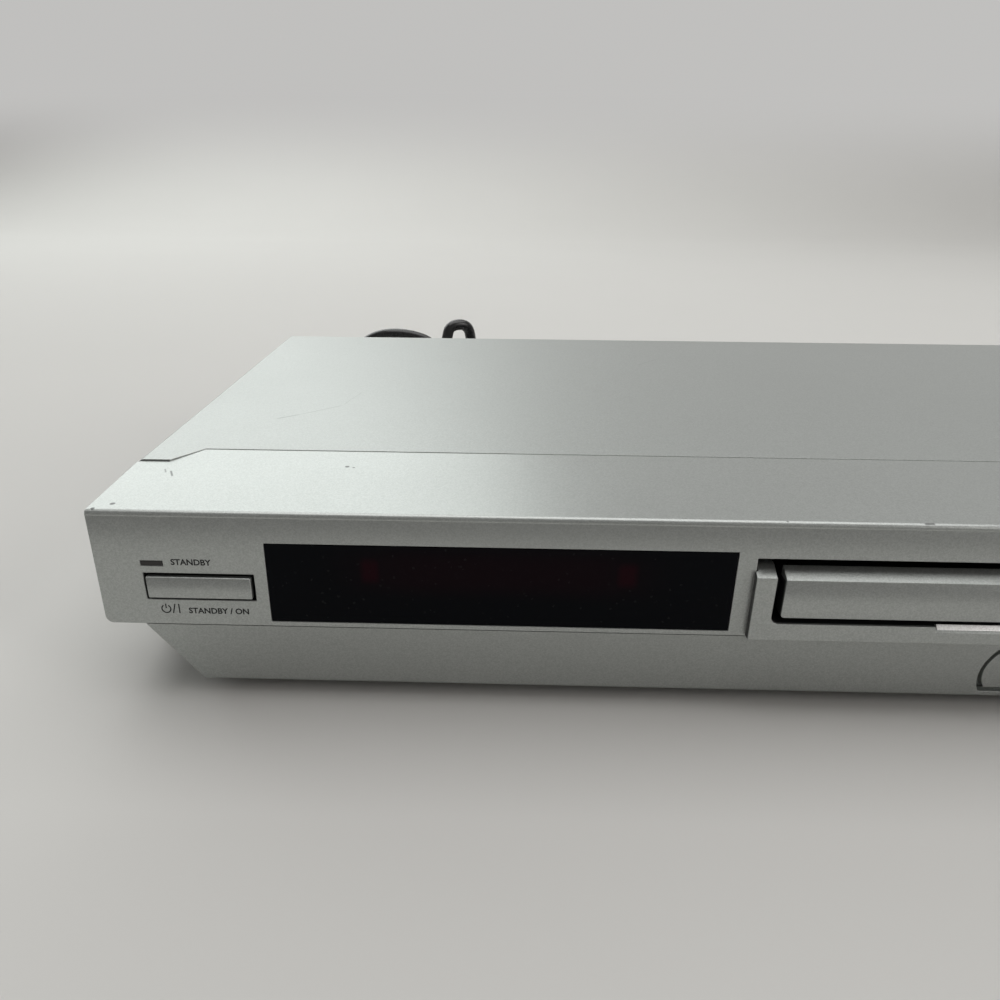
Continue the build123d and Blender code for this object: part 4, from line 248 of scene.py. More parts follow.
def silver_paint(
    name, colour, roughness, marks=(), lowest=0.0, inside=None, ends=0, crowns=(), sparkle=0.004,
):
    """Silver metallic paint: fine flakes, faint orange peel, a little grime and stated marks.

    Marks are (start, end, width, depth) on faces above the lowest height, or spots where
    start equals end. The inside, as (depth, side, low, top), is painted shade, near-black and
    not metallic, on what is deeper than depth, nearer the middle than side and between low and
    top, where the gaps and openings lie in shade, and so are the ends at that distance from the
    tray's middle. A crown, as (face, low, high, tilt), turns a front face up, by tilt degrees at
    its high edge and not at all at its low edge."""
    finish = Finish(name, colour, roughness, metallic=0.72, coat=0.25, coat_roughness=0.3)
    flake, cloud = finish.flakes(0.30), finish.noise(70, 2)
    tone = finish.mix(flake, shade(colour, 0.88), shade(colour, 1.12))
    tone = finish.mix(cloud.ease(0.3, 0.8) * 0.25, tone, shade(colour, 0.95))
    height = finish.noise(0.7, 1) * 0.0020 + finish.noise(0.38, 0) * sparkle
    if marks:
        x, y = finish.axis(0), finish.axis(1)
        top = finish.axis(2).ease(lowest, lowest + 0.2)
        wobble = (finish.noise(9, 1) - 0.5) * 1.2
        wear = None
        for start, end, width, depth in marks:
            if start == end:
                away = (((x - start[0]) ** 2 + (y - start[1]) ** 2) ** 0.5) + wobble * 0.5
                mark = away.ease(width * 0.5, width, depth, 0)
            else:
                mark = finish.line(x, y, start, end, width, wobble) * depth
            wear = mark if wear is None else wear.most(mark)
        wear = wear * top
        tone = finish.mix(wear, tone, (0.05, 0.05, 0.05))
        height = height - wear * 0.03
    for face, low, high, tilt in crowns:
        rise = (finish.axis(2) - low).most(0).least(high - low)
        bend = math.tan(math.radians(tilt)) / (2 * (high - low))
        height = height - (rise * rise - (high - low) ** 2) * finish.facing_front(face, 0.9) * bend
    smear = finish.noise(40, 3)
    gloss = smear.ease(0.2, 0.8, roughness - 0.02, roughness + 0.02) + flake * 0.05
    # Painted shade: what lies deeper than the face, in the gaps and openings, is coloured near-black and
    # made non-metallic.
    if inside:
        depth, side, low, top = inside
        gap_shade = finish.axis(1).ease(depth, depth + 0.3)
        if side:
            gap_shade = gap_shade * (side - abs(finish.axis(0))).ease(0, 0.4)
        if low:
            gap_shade = gap_shade * (finish.axis(2) - low).ease(-0.05, 0.05)
        if top:
            gap_shade = gap_shade * (top - finish.axis(2)).ease(0, 0.4)
        if ends:
            end = (abs(finish.axis(0) - TRAY_X) - ends).ease(0, 0.08)
            gap_shade = gap_shade.most(end * finish.axis(1).ease(-2.0, -1.7))
        tone = finish.mix(gap_shade, tone, (0.012, 0.012, 0.013))
        finish.paint("Metallic", 0.72 - gap_shade * 0.72)
        gloss = gloss + gap_shade * 0.2
    finish.paint("Base Color", tone)
    finish.paint("Roughness", gloss)
    finish.raise_surface(height, 1.0)
    return finish.material


def moulded_plastic(name, colour, roughness, grain=0.5, depth=0.02, speck=0.06):
    """Plain moulded plastic with a fine spark-eroded grain and slight uneven gloss."""
    finish = Finish(name, colour, roughness)
    fine = finish.noise(grain, 3)
    broad = finish.noise(30, 3)
    tone = finish.mix(fine, shade(colour, 1 - speck), shade(colour, 1 + speck))
    finish.paint("Base Color", finish.mix(broad.ease(0.4, 0.8) * 0.3, tone, shade(colour, 1.25)))
    finish.paint("Roughness", broad.ease(0.3, 0.8, roughness - 0.05, roughness + 0.07))
    finish.raise_surface(fine, depth, 0.5)
    return finish.material


def smoked_window(name):
    """Dark polished acrylic with dust, hairline wipe marks and unlit digits deep inside."""
    finish = Finish(name, WINDOW_BLACK, 0.08)
    finish.paint("Specular IOR Level", 0.05)
    x, z = finish.axis(0), finish.axis(2)
    dust = finish.flakes(0.5).ease(0.985, 1.0)
    wipes = finish.noise(2.2, 2, (0.08, 1, 1)).ease(0.62, 0.8)
    glow = abs(x + 115).ease(20, 48, 1, 0) * abs(z - 41).ease(2, 9, 1, 0) * 0.35
    for middle, width in ((-147.5, 3.5), (-83.0, 4.0)):
        near = abs(x - middle).ease(1.0, width, 1, 0) * abs(z - 41).ease(1.5, 5, 1, 0)
        glow = glow.most(near)
    tone = finish.mix(glow, WINDOW_BLACK, (0.016, 0.002, 0.005))
    finish.paint("Base Color", finish.mix(dust * 0.3, tone, (0.03, 0.03, 0.03)))
    finish.paint("Roughness", 0.06 + wipes * 0.05 + dust * 0.3)
    return finish.material


def zinc_sheet(name, colour):
    """Zinc-coated steel: pale crystals of slightly different gloss and faint rolling lines."""
    finish = Finish(name, colour, 0.4, metallic=0.85)
    crystal = finish.flakes(4.5)
    rolling = finish.noise(0.7, 2, (0.04, 1, 1))
    tone = finish.mix(crystal, shade(colour, 0.86), shade(colour, 1.10))
    finish.paint("Base Color", finish.mix(rolling * 0.4, tone, shade(colour, 0.85)))
    finish.paint("Roughness", crystal.ease(0, 1, 0.32, 0.46) + rolling * 0.06)
    finish.raise_surface(rolling, 0.01, 0.3)
    return finish.material


def turned_metal(name, colour, roughness, metallic=0.95):
    """Bright plain metal with fine drawn lines and faint stains."""
    finish = Finish(name, colour, roughness, metallic=metallic)
    stain = finish.noise(5, 3)
    lines = finish.noise(0.25, 2, (1, 1, 0.1))
    finish.paint("Base Color", finish.mix(stain.ease(0.4, 0.8) * 0.5, colour, shade(colour, 0.75)))
    finish.paint("Roughness", stain.ease(0.3, 0.8, roughness, roughness + 0.12) + lines * 0.05)
    finish.raise_surface(lines, 0.006, 0.3)
    return finish.material


def circuit_laminate(name):
    """Green lacquer over copper tracks, with pale legend specks."""
    green = (0.012, 0.075, 0.035)
    finish = Finish(name, green, 0.35)
    x, y = finish.axis(0), finish.axis(1)
    bend = (finish.noise(12, 1) - 0.5) * 6
    tracks = abs((x + bend).wrap(2.4) - 1.2).ease(0.45, 0.6, 1, 0)
    cross = abs((y + bend).wrap(5.2) - 2.6).ease(0.4, 0.55, 1, 0)
    area = finish.noise(20, 2).ease(0.48, 0.52)
    copper = tracks * area + cross * (1 - area)
    tone = finish.mix(copper, green, (0.02, 0.13, 0.05))
    legend = finish.flakes(1.1).ease(0.965, 0.97) * finish.noise(9, 1).ease(0.55, 0.6)
    finish.paint("Base Color", finish.mix(legend * 0.8, tone, (0.6, 0.62, 0.58)))
    finish.raise_surface(copper, 0.04, 0.6)
    return finish.material


def cord_sheath(name):
    """Flexible black sheath: smooth, slightly uneven, fairly glossy."""
    finish = Finish(name, (0.010, 0.010, 0.011), 0.26, coat=0.25, coat_roughness=0.2)
    ripple = finish.noise(3.5, 2)
    dust = finish.noise(14, 4).ease(0.52, 0.85)
    finish.paint("Base Color", finish.mix(dust * 0.4, (0.009, 0.009, 0.010), (0.035, 0.034, 0.033)))
    finish.paint("Roughness", ripple.ease(0.3, 0.7, 0.22, 0.34) + dust * 0.12)
    finish.raise_surface(ripple, 0.05, 0.5)
    return finish.material


def floor_cloth(name):
    """Pale plain surface for the floor and the backdrop."""
    colour = (0.69, 0.68, 0.66)
    finish = Finish(name, colour, 0.9)
    soft = finish.noise(180, 2)
    finish.paint("Base Color", finish.mix(soft * 0.4, colour, shade(colour, 0.94)))
    seen = None
    for ray in ("Is Camera Ray", "Is Glossy Ray", "Is Transmission Ray"):
        path = finish.add("ShaderNodeLightPath", output=ray)
        seen = path if seen is None else seen.most(path)
    glow = finish.add("ShaderNodeEmission", None, {"Color": BACKDROP_WHITE, "Strength": 1.0})
    lit = Value(finish, finish.shader.outputs[0])
    high = finish.axis(2).ease(30, 280)
    mixed = finish.add("ShaderNodeMixShader", None, {0: seen * high, 1: lit, 2: glow})
    finish.links.new(mixed.socket, finish.nodes["Material Output"].inputs["Surface"])
    return finish.material


COVER_MARKS = [
    ((-189.0, 70.6), (-181.5, 76.2), 0.40, 0.50),
    ((-183.0, 75.2), (-169.0, 87.9), 0.34, 0.32),
    ((-169.8, 87.0), (-165.9, 104.9), 0.30, 0.18),
    ((-60.0, 150.0), (-48.0, 163.0), 0.30, 0.20),
    ((88.0, 96.0), (101.0, 88.0), 0.30, 0.25),
    ((196.0, 120.0), (204.0, 131.0), 0.30, 0.25),
]
FASCIA_MARKS = [
    ((-215.7, 1.2), (-215.7, 1.2), 0.6, 0.9),
    ((-212.0, 4.0), (-212.0, 4.0), 0.8, 0.9),
    ((-207.6, 26.6), (-206.3, 23.6), 0.35, 0.6),
    ((-205.6, 25.4), (-203.3, 21.3), 0.45, 0.8),
    ((-157.8, 29.9), (-157.8, 29.9), 0.8, 0.9),
    ((-155.9, 29.4), (-155.9, 29.4), 0.45, 0.7),
    ((-216.8, 31.6), (-216.8, 31.6), 0.6, 0.8),
    ((-45.5, 0.9), (-45.5, 0.9), 0.5, 0.6),
    ((-13.0, 0.8), (-10.0, 0.9), 0.5, 0.8),
    ((142.0, 12.0), (151.0, 9.0), 0.3, 0.3),
]
SILVER = (0.418, 0.436, 0.422)
# Near-white paint of the notch strip: a painted highlight where the notch's bevel catches the light.
HIGHLIGHT_SILVER = (0.95, 0.95, 0.94)
WINDOW_BLACK = (0.0025, 0.003, 0.0045)
BACKDROP_WHITE = (0.53, 0.525, 0.515, 1)

# Each crown is the face it is on, its low and high edges, and its tilt in degrees.
BAND_CROWN = (0, 43.0, 55.1, 18)
DOOR_CROWN = (-2.1, 32.5, 41.6, 24)
KEY_CROWNS = [(-KEY_PROUD, 32.5, 38.5, 24), (-KEY_PROUD, 44.8, 49.8, 24)]

# Depth, side, low and top of the painted shade, near-black, in the gaps and openings behind each painted
# face; the surround's ends are shaded from the given distance from the tray's middle.
BAND_PAINTED_SHADE = (0.2, 215.4, 0, 54.5)
SURROUND_PAINTED_SHADE = (-1.5, 0, 29.25, 42.6)
SURROUND_SHADED_ENDS = 78.6
DOOR_PAINTED_SHADE = (-1.5, 0, 0, 41.5)
KEY_PAINTED_SHADE = (0.3, 0, 0, 0)


def make_finishes():
    """Every material, under the name of the record's slot or of the scene's own piece."""
    return {
        "cover_metal": silver_paint("cover_paint", SILVER, 0.40, COVER_MARKS, 57.6),
        "fascia_silver": silver_paint("fascia_paint", SILVER, 0.30),
        "fascia_front": silver_paint(
            "band_paint", SILVER, 0.31, FASCIA_MARKS, 56.0, BAND_PAINTED_SHADE, crowns=[BAND_CROWN], sparkle=0.007,
        ),
        "surround_front": silver_paint(
            "surround_paint", SILVER, 0.30, inside=SURROUND_PAINTED_SHADE, ends=SURROUND_SHADED_ENDS,
        ),
        "door_front": silver_paint(
            "door_paint", SILVER, 0.29, inside=DOOR_PAINTED_SHADE, crowns=[DOOR_CROWN], sparkle=0.018,
        ),
        "key_front": silver_paint("key_paint", SILVER, 0.29, inside=KEY_PAINTED_SHADE, crowns=KEY_CROWNS),
        "window_black": smoked_window("smoked_window"),
        "lens_clear": moulded_plastic("lamp_lens", (0.016, 0.013, 0.013), 0.3, 0.8, 0.01),
        "zinc_sheet": zinc_sheet("zinc_sheet", (0.50, 0.51, 0.51)),
        "tray_plastic": moulded_plastic("tray_plastic", (0.020, 0.020, 0.022), 0.42),
        "loader_plastic": moulded_plastic("loader_plastic", (0.028, 0.028, 0.030), 0.5),
        "gear_plastic": moulded_plastic("gear_plastic", (0.66, 0.65, 0.60), 0.4, 1.5, 0.01, 0.02),
        "rubber_black": moulded_plastic("black_rubber", (0.016, 0.016, 0.016), 0.7, 0.35),
        "foot_plastic": moulded_plastic("foot_plastic", (0.018, 0.018, 0.019), 0.5),
        "steel_bright": turned_metal("bright_steel", (0.56, 0.56, 0.55), 0.25),
        "jack_metal": turned_metal("plated_jack", (0.62, 0.60, 0.55), 0.18),
        "socket_black": moulded_plastic("socket_black", (0.014, 0.014, 0.015), 0.35),
        "board_green": circuit_laminate("circuit_laminate"),
        "part_black": moulded_plastic("part_black", (0.022, 0.022, 0.025), 0.45),
        "can_sleeve": moulded_plastic("can_sleeve", (0.015, 0.022, 0.050), 0.3),
        "heatsink_metal": turned_metal("heatsink_metal", (0.52, 0.52, 0.52), 0.4),
        "glass_dark": moulded_plastic("display_glass", (0.010, 0.022, 0.022), 0.15, 2, 0.002),
        "lens_glass": moulded_plastic("coated_lens", (0.06, 0.08, 0.16), 0.08, 1, 0.001),
        "ribbon_white": moulded_plastic("ribbon_white", (0.62, 0.63, 0.62), 0.45),
        "cord_black": cord_sheath("cord_sheath"),
        "pin_metal": turned_metal("plated_pin", (0.62, 0.61, 0.58), 0.2),
        "print": moulded_plastic("printed_ink", (0.010, 0.010, 0.011), 0.65, 1.0, 0.002),
        # The notch strip's near-white paint is a painted highlight.
        "notch_painted_highlight": silver_paint("painted_highlight", HIGHLIGHT_SILVER, 0.35),
        "collar_yellow": moulded_plastic("yellow_collar", (0.70, 0.45, 0.02), 0.4, 1.0, 0.005),
        "collar_white": moulded_plastic("white_collar", (0.62, 0.62, 0.60), 0.4, 1.0, 0.005),
        "collar_red": moulded_plastic("red_collar", (0.45, 0.02, 0.02), 0.4, 1.0, 0.005),
    }


make_camera()
finishes = make_finishes()
node_slot = {part["node"]: part["material_slot"] for part in frame["record"]["subparts"]}
node_body = {
    node: body for body, members in frame["record"]["behaviour"]["bodies"].items() for node in members
}


# Mains cord

LEAD_POINTS = [
    GLAND_END, (-160.5, 242.0, 20.5), (-172.0, 257.0, 16.0), (-187.0, 263.0, 18.0),
    (-195.5, 261.5, 28.0), (-196.0, 258.0, 40.0), (-183.0, 254.0, 48.5), (-166.5, 252.0, 49.3),
    (-152.0, 253.0, 44.0), (-144.0, 256.0, 26.0), (-138.0, 265.0, 9.0), (-121.0, 275.0, 3.65),
]
TAIL_POINTS = [
    (-97.0, 227.975, 9.6), (-119.0, 227.975, 9.6), (-138.0, 229.0, 7.5), (-148.5, 230.0, 24.0),
    (-146.0, 231.0, 41.5), (-144.0, 232.0, 51.0), (-142.5, 233.0, 57.7), (-133.5, 237.0, 57.7),
    (-131.5, 239.0, 48.5), (-132.0, 243.0, 35.0), (-129.0, 247.0, 24.5), (-120.0, 250.0, 19.8),
    (-107.0, 250.0, 19.8),
]
HANK_MIDDLE = 250.0
HANK_ENDS = (-97.0, -6.0)
HANK_LOW = 3.65
HANK_HIGH = 9.6
HANK_LANES = (25.0, -22.025, 19.05, -16.075, 13.1, -16.075, 19.05, -22.025)
CLIMB_RUN = 4


def hank_points():
    """Turns of the flat hank: two points along each run and four round each end."""
    points = []
    for index, lane in enumerate(HANK_LANES):
        start, end = HANK_ENDS if index % 2 == 0 else HANK_ENDS[::-1]
        before = HANK_LOW if index <= CLIMB_RUN else HANK_HIGH
        after = HANK_LOW if index < CLIMB_RUN else HANK_HIGH
        y = HANK_MIDDLE + lane
        points.append((start + (end - start) / 3, y, before))
        points.append((start + (end - start) * 2 / 3, y, after))
        if index + 1 == len(HANK_LANES):
            break
        y_next = HANK_MIDDLE + HANK_LANES[index + 1]
        centre, radius = (y + y_next) / 2, (y - y_next) / 2
        reach = abs(radius) / math.cos(math.radians(22.5))
        outward = 1 if end > start else -1
        for angle in (67.5, 22.5, -22.5, -67.5):
            swing = math.radians(angle)
            side = math.copysign(reach, radius) * math.sin(swing)
            points.append((end + outward * reach * math.cos(swing), centre + side, after))
    return points


def make_cord():
    """One smooth spline from the gland, through the hank, to the plug."""
    route = LEAD_POINTS + hank_points() + TAIL_POINTS
    curve = bpy.data.curves.new("mains_cord", "CURVE")
    curve.dimensions = "3D"
    spline = curve.splines.new("NURBS")
    spline.points.add(len(route) - 1)
    for point, place in zip(spline.points, route):
        point.co = (*at(*place), 1)
    spline.order_u = 3
    spline.use_endpoint_u = True
    spline.resolution_u = 10
    curve.bevel_depth = CORD_WIDTH / 2000
    curve.bevel_resolution = 5
    curve.use_fill_caps = True
    cord = bpy.data.objects.new("mains_cord", curve)
    bpy.context.collection.objects.link(cord)
    curve.materials.append(finishes["cord_black"])
    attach(cord, "housing")
    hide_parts("cord_lead", "cord_hank", "cord_tail")
    return cord


# Pieces

def link_piece(name, mesh, node, finish, angle=30):
    """Puts a finished mesh in the scene, riding on the body of a CAD node."""
    mesh.materials.clear()
    mesh.materials.append(finishes[finish])
    for face in mesh.polygons:
        face.use_smooth = True
    mesh.set_sharp_from_angle(angle=math.radians(angle))
    piece = bpy.data.objects.new(name, mesh)
    bpy.context.collection.objects.link(piece)
    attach(piece, node_body[node])
    return piece


def softened(node, width, segments=2, angle=36, finish=None, reshape=None):
    """Copy of a CAD node with its sharp edges rounded by a small bevel."""
    shape = bmesh.new()
    shape.from_mesh(frame["nodes"][node].data)
    bmesh.ops.remove_doubles(shape, verts=shape.verts, dist=1e-6)
    bmesh.ops.dissolve_limit(shape, angle_limit=math.radians(0.5), verts=shape.verts, edges=shape.edges)
    if reshape:
        reshape(shape)
    limit = math.radians(angle)
    sharp = [e for e in shape.edges if len(e.link_faces) == 2 and e.calc_face_angle(0) > limit]
    bmesh.ops.bevel(
        shape, geom=sharp, offset=width / 1000, offset_type="OFFSET", segments=segments, profile=0.5,
        affect="EDGES", clamp_overlap=False, material=-1, harden_normals=False,
    )
    mesh = bpy.data.meshes.new(node + "_soft")
    shape.to_mesh(mesh)
    shape.free()
    piece = link_piece(node + "_piece", mesh, node, finish or node_slot[node], 50)
    weighted = piece.modifiers.new("weighted", "WEIGHTED_NORMAL")
    weighted.keep_sharp = True
    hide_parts(node)
    return piece


def shape_fascia(shape):
    """Rounds the fascia's lip more fully and lifts the back of its top level with the cover."""
    near = 0.02
    for vert in shape.verts:
        x, y, z = (value * 1000 for value in vert.co)
        depth = y - FRONT_TO_FRAME
        if depth < LIP_ROUND + near and z > LIP_TOP - LIP_ROUND - near:
            depth *= LIP_SWELL
            z = LIP_TOP + (z - LIP_TOP) * LIP_SWELL
        elif z > LIP_TOP - 0.3:
            z += FASCIA_TOP_LIFT * min(1.0, depth / FASCIA_TOP_DEPTH)
        vert.co = at(x, depth, z)


def keep_beyond(shape, x, side):
    """Keeps what lies on one side of a distance along x, and closes the cut."""
    everything = shape.verts[:] + shape.edges[:] + shape.faces[:]
    bmesh.ops.bisect_plane(
        shape, geom=everything, plane_co=at(x - 0.01, 0, 0), plane_no=(side, 0, 0), clear_inner=True,
    )
    bmesh.ops.holes_fill(shape, edges=[edge for edge in shape.edges if edge.is_boundary])


# Radius, and distance out from the rear face, round the section of a collar.
COLLAR_PROFILE = [(4.35, 0), (5.9, 0), (5.9, 0.35), (5.6, 0.6), (4.6, 0.6), (4.35, 0.35)]


def collar_ring(name, x, z, finish):
    """Coloured plastic collar round one of the phono sockets."""
    ring = bmesh.new()
    verts = [ring.verts.new(at(x + radius, REAR_FACE + out, z)) for radius, out in COLLAR_PROFILE]
    edges = [ring.edges.new(pair) for pair in zip(verts, verts[1:] + verts[:1])]
    bmesh.ops.spin(
        ring, geom=verts + edges, cent=at(x, REAR_FACE, z), axis=(0, 1, 0), angle=math.tau,
        steps=40, use_merge=True,
    )
    bmesh.ops.remove_doubles(ring, verts=ring.verts, dist=1e-6)
    bmesh.ops.recalc_face_normals(ring, faces=ring.faces[:])
    mesh = bpy.data.meshes.new(name)
    ring.to_mesh(mesh)
    ring.free()
    return link_piece(name, mesh, "rca_jacks", finish, 40)


def steepen_notch(shape):
    """Brings the back of the sill's finger notch forward, so that it faces the room."""
    for vert in shape.verts:
        x, y, z = (value * 1000 for value in vert.co)
        in_notch = abs(z - NOTCH_TOP) < 0.1 and abs(x - TRAY_X) < NOTCH_HALF
        if in_notch and 0.3 < y - FRONT_TO_FRAME < 2.0:
            vert.co.y = at(0, NOTCH_BACK, 0).y


def sill_highlight_strip():
    """Near-white strip along the upper part of the sill's finger notch: a painted highlight where the
    notch's bevel catches the light.
    """
    strip = bmesh.new()
    left, right = TRAY_X - STRIP_HALF, TRAY_X + STRIP_HALF
    corners = [(left, *STRIP_FRONT), (right, *STRIP_FRONT), (right, *STRIP_BACK), (left, *STRIP_BACK)]
    strip.faces.new([strip.verts.new(at(*place)) for place in corners])
    made = bmesh.ops.extrude_face_region(strip, geom=strip.faces[:])
    lifted = [part for part in made["geom"] if isinstance(part, bmesh.types.BMVert)]
    bmesh.ops.translate(strip, verts=lifted, vec=(0, -STRIP_THICK / 1000, STRIP_THICK / 1000))
    bmesh.ops.recalc_face_normals(strip, faces=strip.faces[:])
    mesh = bpy.data.meshes.new("notch_painted_highlight")
    strip.to_mesh(mesh)
    strip.free()
    link_piece("notch_painted_highlight", mesh, "tray_surround", "notch_painted_highlight")


def key_piece(node):
    """Proud key cap with rounded edges, on the rear flange and stem of the CAD key."""
    shape = bmesh.new()
    shape.from_mesh(frame["nodes"][node].data)
    bmesh.ops.remove_doubles(shape, verts=shape.verts, dist=1e-6)
    cap = [vert.co.copy() for vert in shape.verts if vert.co.y < at(0, KEY_FLANGE_FRONT - 0.1, 0).y]
    low = Vector([min(place[axis] for place in cap) for axis in range(3)])
    high = Vector([max(place[axis] for place in cap) for axis in range(3)])
    plane = at(0, KEY_FLANGE_FRONT - 0.05, 0)
    everything = shape.verts[:] + shape.edges[:] + shape.faces[:]
    bmesh.ops.bisect_plane(shape, geom=everything, plane_co=plane, plane_no=(0, -1, 0), clear_outer=True)
    bmesh.ops.holes_fill(shape, edges=[edge for edge in shape.edges if edge.is_boundary])
    low += Vector((KEY_SHRINK, 0, KEY_SHRINK)) / 1000
    high -= Vector((KEY_SHRINK, 0, KEY_SHRINK)) / 1000
    low.y, high.y = at(0, -KEY_PROUD, 0).y, plane.y
    size = Matrix.Diagonal((*(high - low), 1))
    made = bmesh.ops.create_cube(shape, size=1, matrix=Matrix.Translation((low + high) / 2) @ size)
    front = {vert for vert in made["verts"] if vert.co.y < low.y + 1e-5}
    sharp = {edge for vert in front for edge in vert.link_edges}
    bmesh.ops.bevel(
        shape, geom=list(sharp), offset=KEY_EDGE / 1000, offset_type="OFFSET", segments=3, profile=0.5,
        affect="EDGES", clamp_overlap=False, material=-1,
    )
    mesh = bpy.data.meshes.new(node + "_cap")
    shape.to_mesh(mesh)
    shape.free()
    piece = link_piece(node + "_piece", mesh, node, "key_front", 50)
    weighted = piece.modifiers.new("weighted", "WEIGHTED_NORMAL")
    weighted.keep_sharp = True
    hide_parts(node)


def lettering(name, text, size, x, z, finish="print"):
    """Printed words on the fascia's face, as thin raised ink."""
    data = bpy.data.curves.new(name, "FONT")
    data.body = text
    data.size = size
    data.extrude = INK
    data.offset = STROKE_SWELL * size
    data.resolution_u = 3
    data.align_x = "CENTER"
    data.align_y = "CENTER"
    holder = bpy.data.objects.new(name, data)
    mesh = bpy.data.meshes.new_from_object(holder)
    bpy.data.objects.remove(holder)
    mesh.transform(Matrix.Rotation(math.pi / 2, 4, "X"))
    mesh.transform(Matrix.Translation((x, FRONT_TO_FRAME, z)))
    mesh.transform(Matrix.Scale(0.001, 4))
    return link_piece(name, mesh, "front_panel", finish)


def symbol(name, outlines, x, z, ring=None):
    """Printed symbol on the fascia: filled outlines round its middle, and an open ring."""
    ink = bmesh.new()
    for outline in outlines:
        ink.faces.new([ink.verts.new((across, 0, up)) for across, up in outline])
    if ring:
        inner, outer, gap = ring
        start = math.radians(90 + gap / 2)
        ends = [ink.verts.new((r * math.cos(start), 0, r * math.sin(start))) for r in (inner, outer)]
        bmesh.ops.spin(
            ink, geom=[*ends, ink.edges.new(ends)], cent=(0, 0, 0), axis=(0, -1, 0),
            angle=math.radians(360 - gap), steps=28,
        )
    made = bmesh.ops.extrude_face_region(ink, geom=ink.faces[:])
    moved = [part for part in made["geom"] if isinstance(part, bmesh.types.BMVert)]
    bmesh.ops.translate(ink, verts=moved, vec=(0, -INK, 0))
    bmesh.ops.recalc_face_normals(ink, faces=ink.faces[:])
    mesh = bpy.data.meshes.new(name)
    ink.to_mesh(mesh)
    ink.free()
    mesh.transform(Matrix.Translation((x, FRONT_TO_FRAME, z)))
    mesh.transform(Matrix.Scale(0.001, 4))
    return link_piece(name, mesh, "front_panel", "print")


def oblong(left, low, right, high, lean=0.0):
    return [(left, low), (right, low), (right + lean, high), (left + lean, high)]


def arrow(tip, half, length):
    """Triangle whose tip points along x, away from its base."""
    return [(tip, 0), (tip - length, half), (tip - length, -half)]


def dress_cad_nodes():
    """Gives every CAD node that stays its own finish."""
    for name, node in frame["nodes"].items():
        node.data.materials.clear()
        node.data.materials.append(finishes[node_slot[name]])


# Surroundings

FLOOR_SIDE = 5.0
FLOOR_FRONT = -7.0
BEND_START = 1.2
BEND_RADIUS = 0.8
BEND_STEPS = 12
BACKDROP_TOP = 3.0


def make_floor():
    """Pale floor that sweeps up into a backdrop, well behind the player."""
    sweep = bmesh.new()
    profile = [(FLOOR_FRONT, 0), (BEND_START, 0)]
    for step in range(1, BEND_STEPS + 1):
        angle = math.radians(90 * step / BEND_STEPS)
        forward, up = BEND_RADIUS * math.sin(angle), BEND_RADIUS * (1 - math.cos(angle))
        profile.append((BEND_START + forward, up))
    profile.append((BEND_START + BEND_RADIUS, BACKDROP_TOP))
    line = [sweep.verts.new((-FLOOR_SIDE, y, z)) for y, z in profile]
    for pair in zip(line, line[1:]):
        sweep.edges.new(pair)
    made = bmesh.ops.extrude_edge_only(sweep, edges=sweep.edges[:])
    moved = [part for part in made["geom"] if isinstance(part, bmesh.types.BMVert)]
    bmesh.ops.translate(sweep, verts=moved, vec=(2 * FLOOR_SIDE, 0, 0))
    mesh = bpy.data.meshes.new("floor")
    sweep.to_mesh(mesh)
    sweep.free()
    for face in mesh.polygons:
        face.use_smooth = True
    mesh.materials.append(floor_cloth("floor_cloth"))
    floor = bpy.data.objects.new("floor", mesh)
    bpy.context.collection.objects.link(floor)


def lamp(name, place, target, size, power, colour):
    data = bpy.data.lights.new(name, "AREA")
    data.color = colour
    data.shape = "RECTANGLE"
    data.size, data.size_y = size
    data.energy = power
    light = bpy.data.objects.new(name, data)
    light.location = place
    light.rotation_euler = (Vector(target) - Vector(place)).to_track_quat("-Z", "Y").to_euler()
    bpy.context.collection.objects.link(light)


ROOM_COLOUR = (0.82, 0.80, 0.78, 1)
ROOM_LIGHT = 0.18
ROOM_SEEN = 0.30


def make_world():
    """Even pale surround, a little paler where it is seen than where it gives light."""
    world = bpy.data.worlds.new("room")
    world.use_nodes = True
    nodes, links = world.node_tree.nodes, world.node_tree.links
    lit, seen = nodes["Background"], nodes.new("ShaderNodeBackground")
    for background, strength in ((lit, ROOM_LIGHT), (seen, ROOM_SEEN)):
        background.inputs["Color"].default_value = ROOM_COLOUR
        background.inputs["Strength"].default_value = strength
    path = nodes.new("ShaderNodeLightPath")
    looked_at = path.outputs["Is Camera Ray"]
    for ray in ("Is Glossy Ray", "Is Transmission Ray"):
        either = nodes.new("ShaderNodeMath")
        either.operation = "MAXIMUM"
        links.new(looked_at, either.inputs[0])
        links.new(path.outputs[ray], either.inputs[1])
        looked_at = either.outputs[0]
    mixed = nodes.new("ShaderNodeMixShader")
    links.new(looked_at, mixed.inputs[0])
    links.new(lit.outputs[0], mixed.inputs[1])
    links.new(seen.outputs[0], mixed.inputs[2])
    links.new(mixed.outputs[0], nodes["World Output"].inputs["Surface"])
    bpy.context.scene.world = world


def make_light():
    """Large soft lamp above and behind the left end, one overhead, one at the front right."""
    lamp("window_light", (-1.0, 1.35, 1.0), (-0.1, 0, 0.05), (2.2, 1.3), 13.6, (0.95, 1.0, 0.98))
    lamp("ceiling_light", (0.1, 0.3, 1.9), (0.1, 0.3, 0), (2.4, 1.8), 25, (1.0, 1.0, 0.99))
    lamp("room_light", (1.3, -0.8, 0.85), (0.15, -0.1, 0.05), (0.8, 0.8), 5.5, (1.0, 0.97, 0.94))
    make_world()
    bpy.context.scene.view_settings.view_transform = "Standard"


dress_cad_nodes()
cord = make_cord()
plug = softened("mains_plug", 0.5, 3, reshape=lambda shape: keep_beyond(shape, PLUG_NOSE, -1))
pins = softened(
    "mains_plug", 0.2, 2, finish="pin_metal", reshape=lambda shape: keep_beyond(shape, PLUG_NOSE, 1),
)
pins.name = "plug_pins"
at(*GLAND_END)

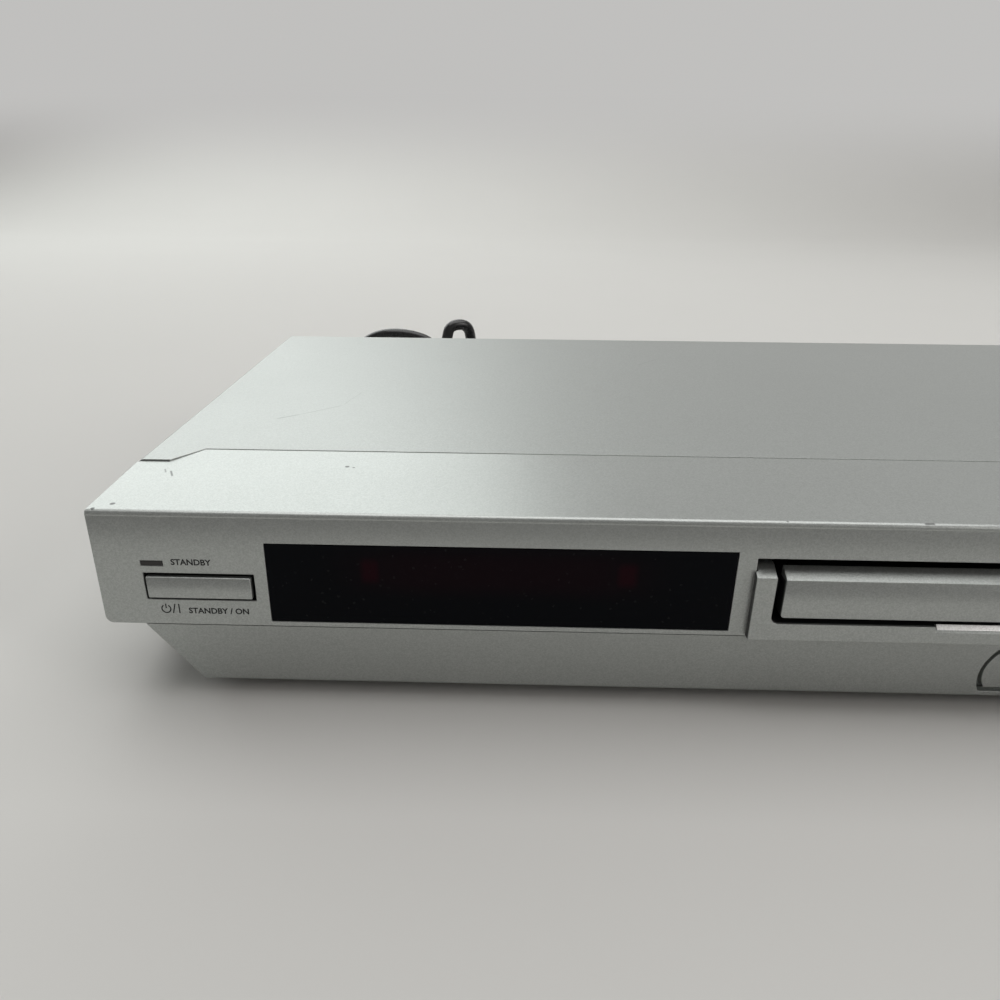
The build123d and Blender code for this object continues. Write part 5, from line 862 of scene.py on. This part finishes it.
SOFT_EDGES = {
    "top_cover": 0.15, "front_panel": 0.22, "tray_surround": 0.2, "chin_trim": 0.22, "open_key": 0.2,
    "tray_door": 0.2, "display_window": 0.1, "standby_lens": 0.05,
    "tray": 0.15, "feet": 0.25, "foot_pads": 0.3, "rear_panel": 0.1, "chassis_pan": 0.1,
    "side_sockets": 0.1, "rca_jacks": 0.1, "cord_gland": 0.15, "cord_tie": 0.1,
}
FACE_FINISH = {
    "front_panel": "fascia_front", "tray_surround": "surround_front", "tray_door": "door_front",
}
FACE_SHAPE = {"front_panel": shape_fascia, "tray_surround": steepen_notch}
for soft_node, soft_width in SOFT_EDGES.items():
    softened(soft_node, soft_width, finish=FACE_FINISH.get(soft_node), reshape=FACE_SHAPE.get(soft_node))
for key in ("standby", "stop", "pause", "play", "skip_back", "skip_forward"):
    key_piece(key + "_key")

lettering("standby_word", "STANDBY", 2.3, -192.8, 42.5)
lettering("standby_on_words", "STANDBY / ON", 2.3, -187.3, 28.4)
symbol("power_symbol", [oblong(-0.16, 0.15, 0.16, 1.5)], -201.0, 28.9, ring=(0.98, 1.32, 64))
symbol("power_stroke", [oblong(-0.58, -1.3, -0.25, 1.5, 0.75), oblong(1.12, -1.3, 1.45, 1.5)], -198.9, 28.9)
symbol("stop_symbol", [oblong(-0.85, -0.85, 0.85, 0.85)], 123.0, 28.3)
symbol("pause_symbol", [oblong(-0.8, -0.9, -0.3, 0.9), oblong(0.3, -0.9, 0.8, 0.9)], 156.0, 28.3)
symbol("play_symbol", [arrow(1.0, 0.95, 1.8)], 189.0, 28.3)
SKIP_MARK = [arrow(0.1, 0.9, 1.5), arrow(1.6, 0.9, 1.5), oblong(1.6, -0.9, 1.95, 0.9)]
symbol("skip_forward_symbol", SKIP_MARK, 172.5, 41.8)
mirrored = [[(-across, up) for across, up in reversed(outline)] for outline in SKIP_MARK]
symbol("skip_back_symbol", mirrored, 139.5, 41.8)

sill_highlight_strip()
for jack_x, colour in zip(JACK_X, ("yellow", "white", "red")):
    for jack_z in JACK_Z:
        collar_ring(f"jack_collar_{round(jack_x)}_{round(jack_z)}", jack_x, jack_z, "collar_" + colour)

make_floor()
make_light()
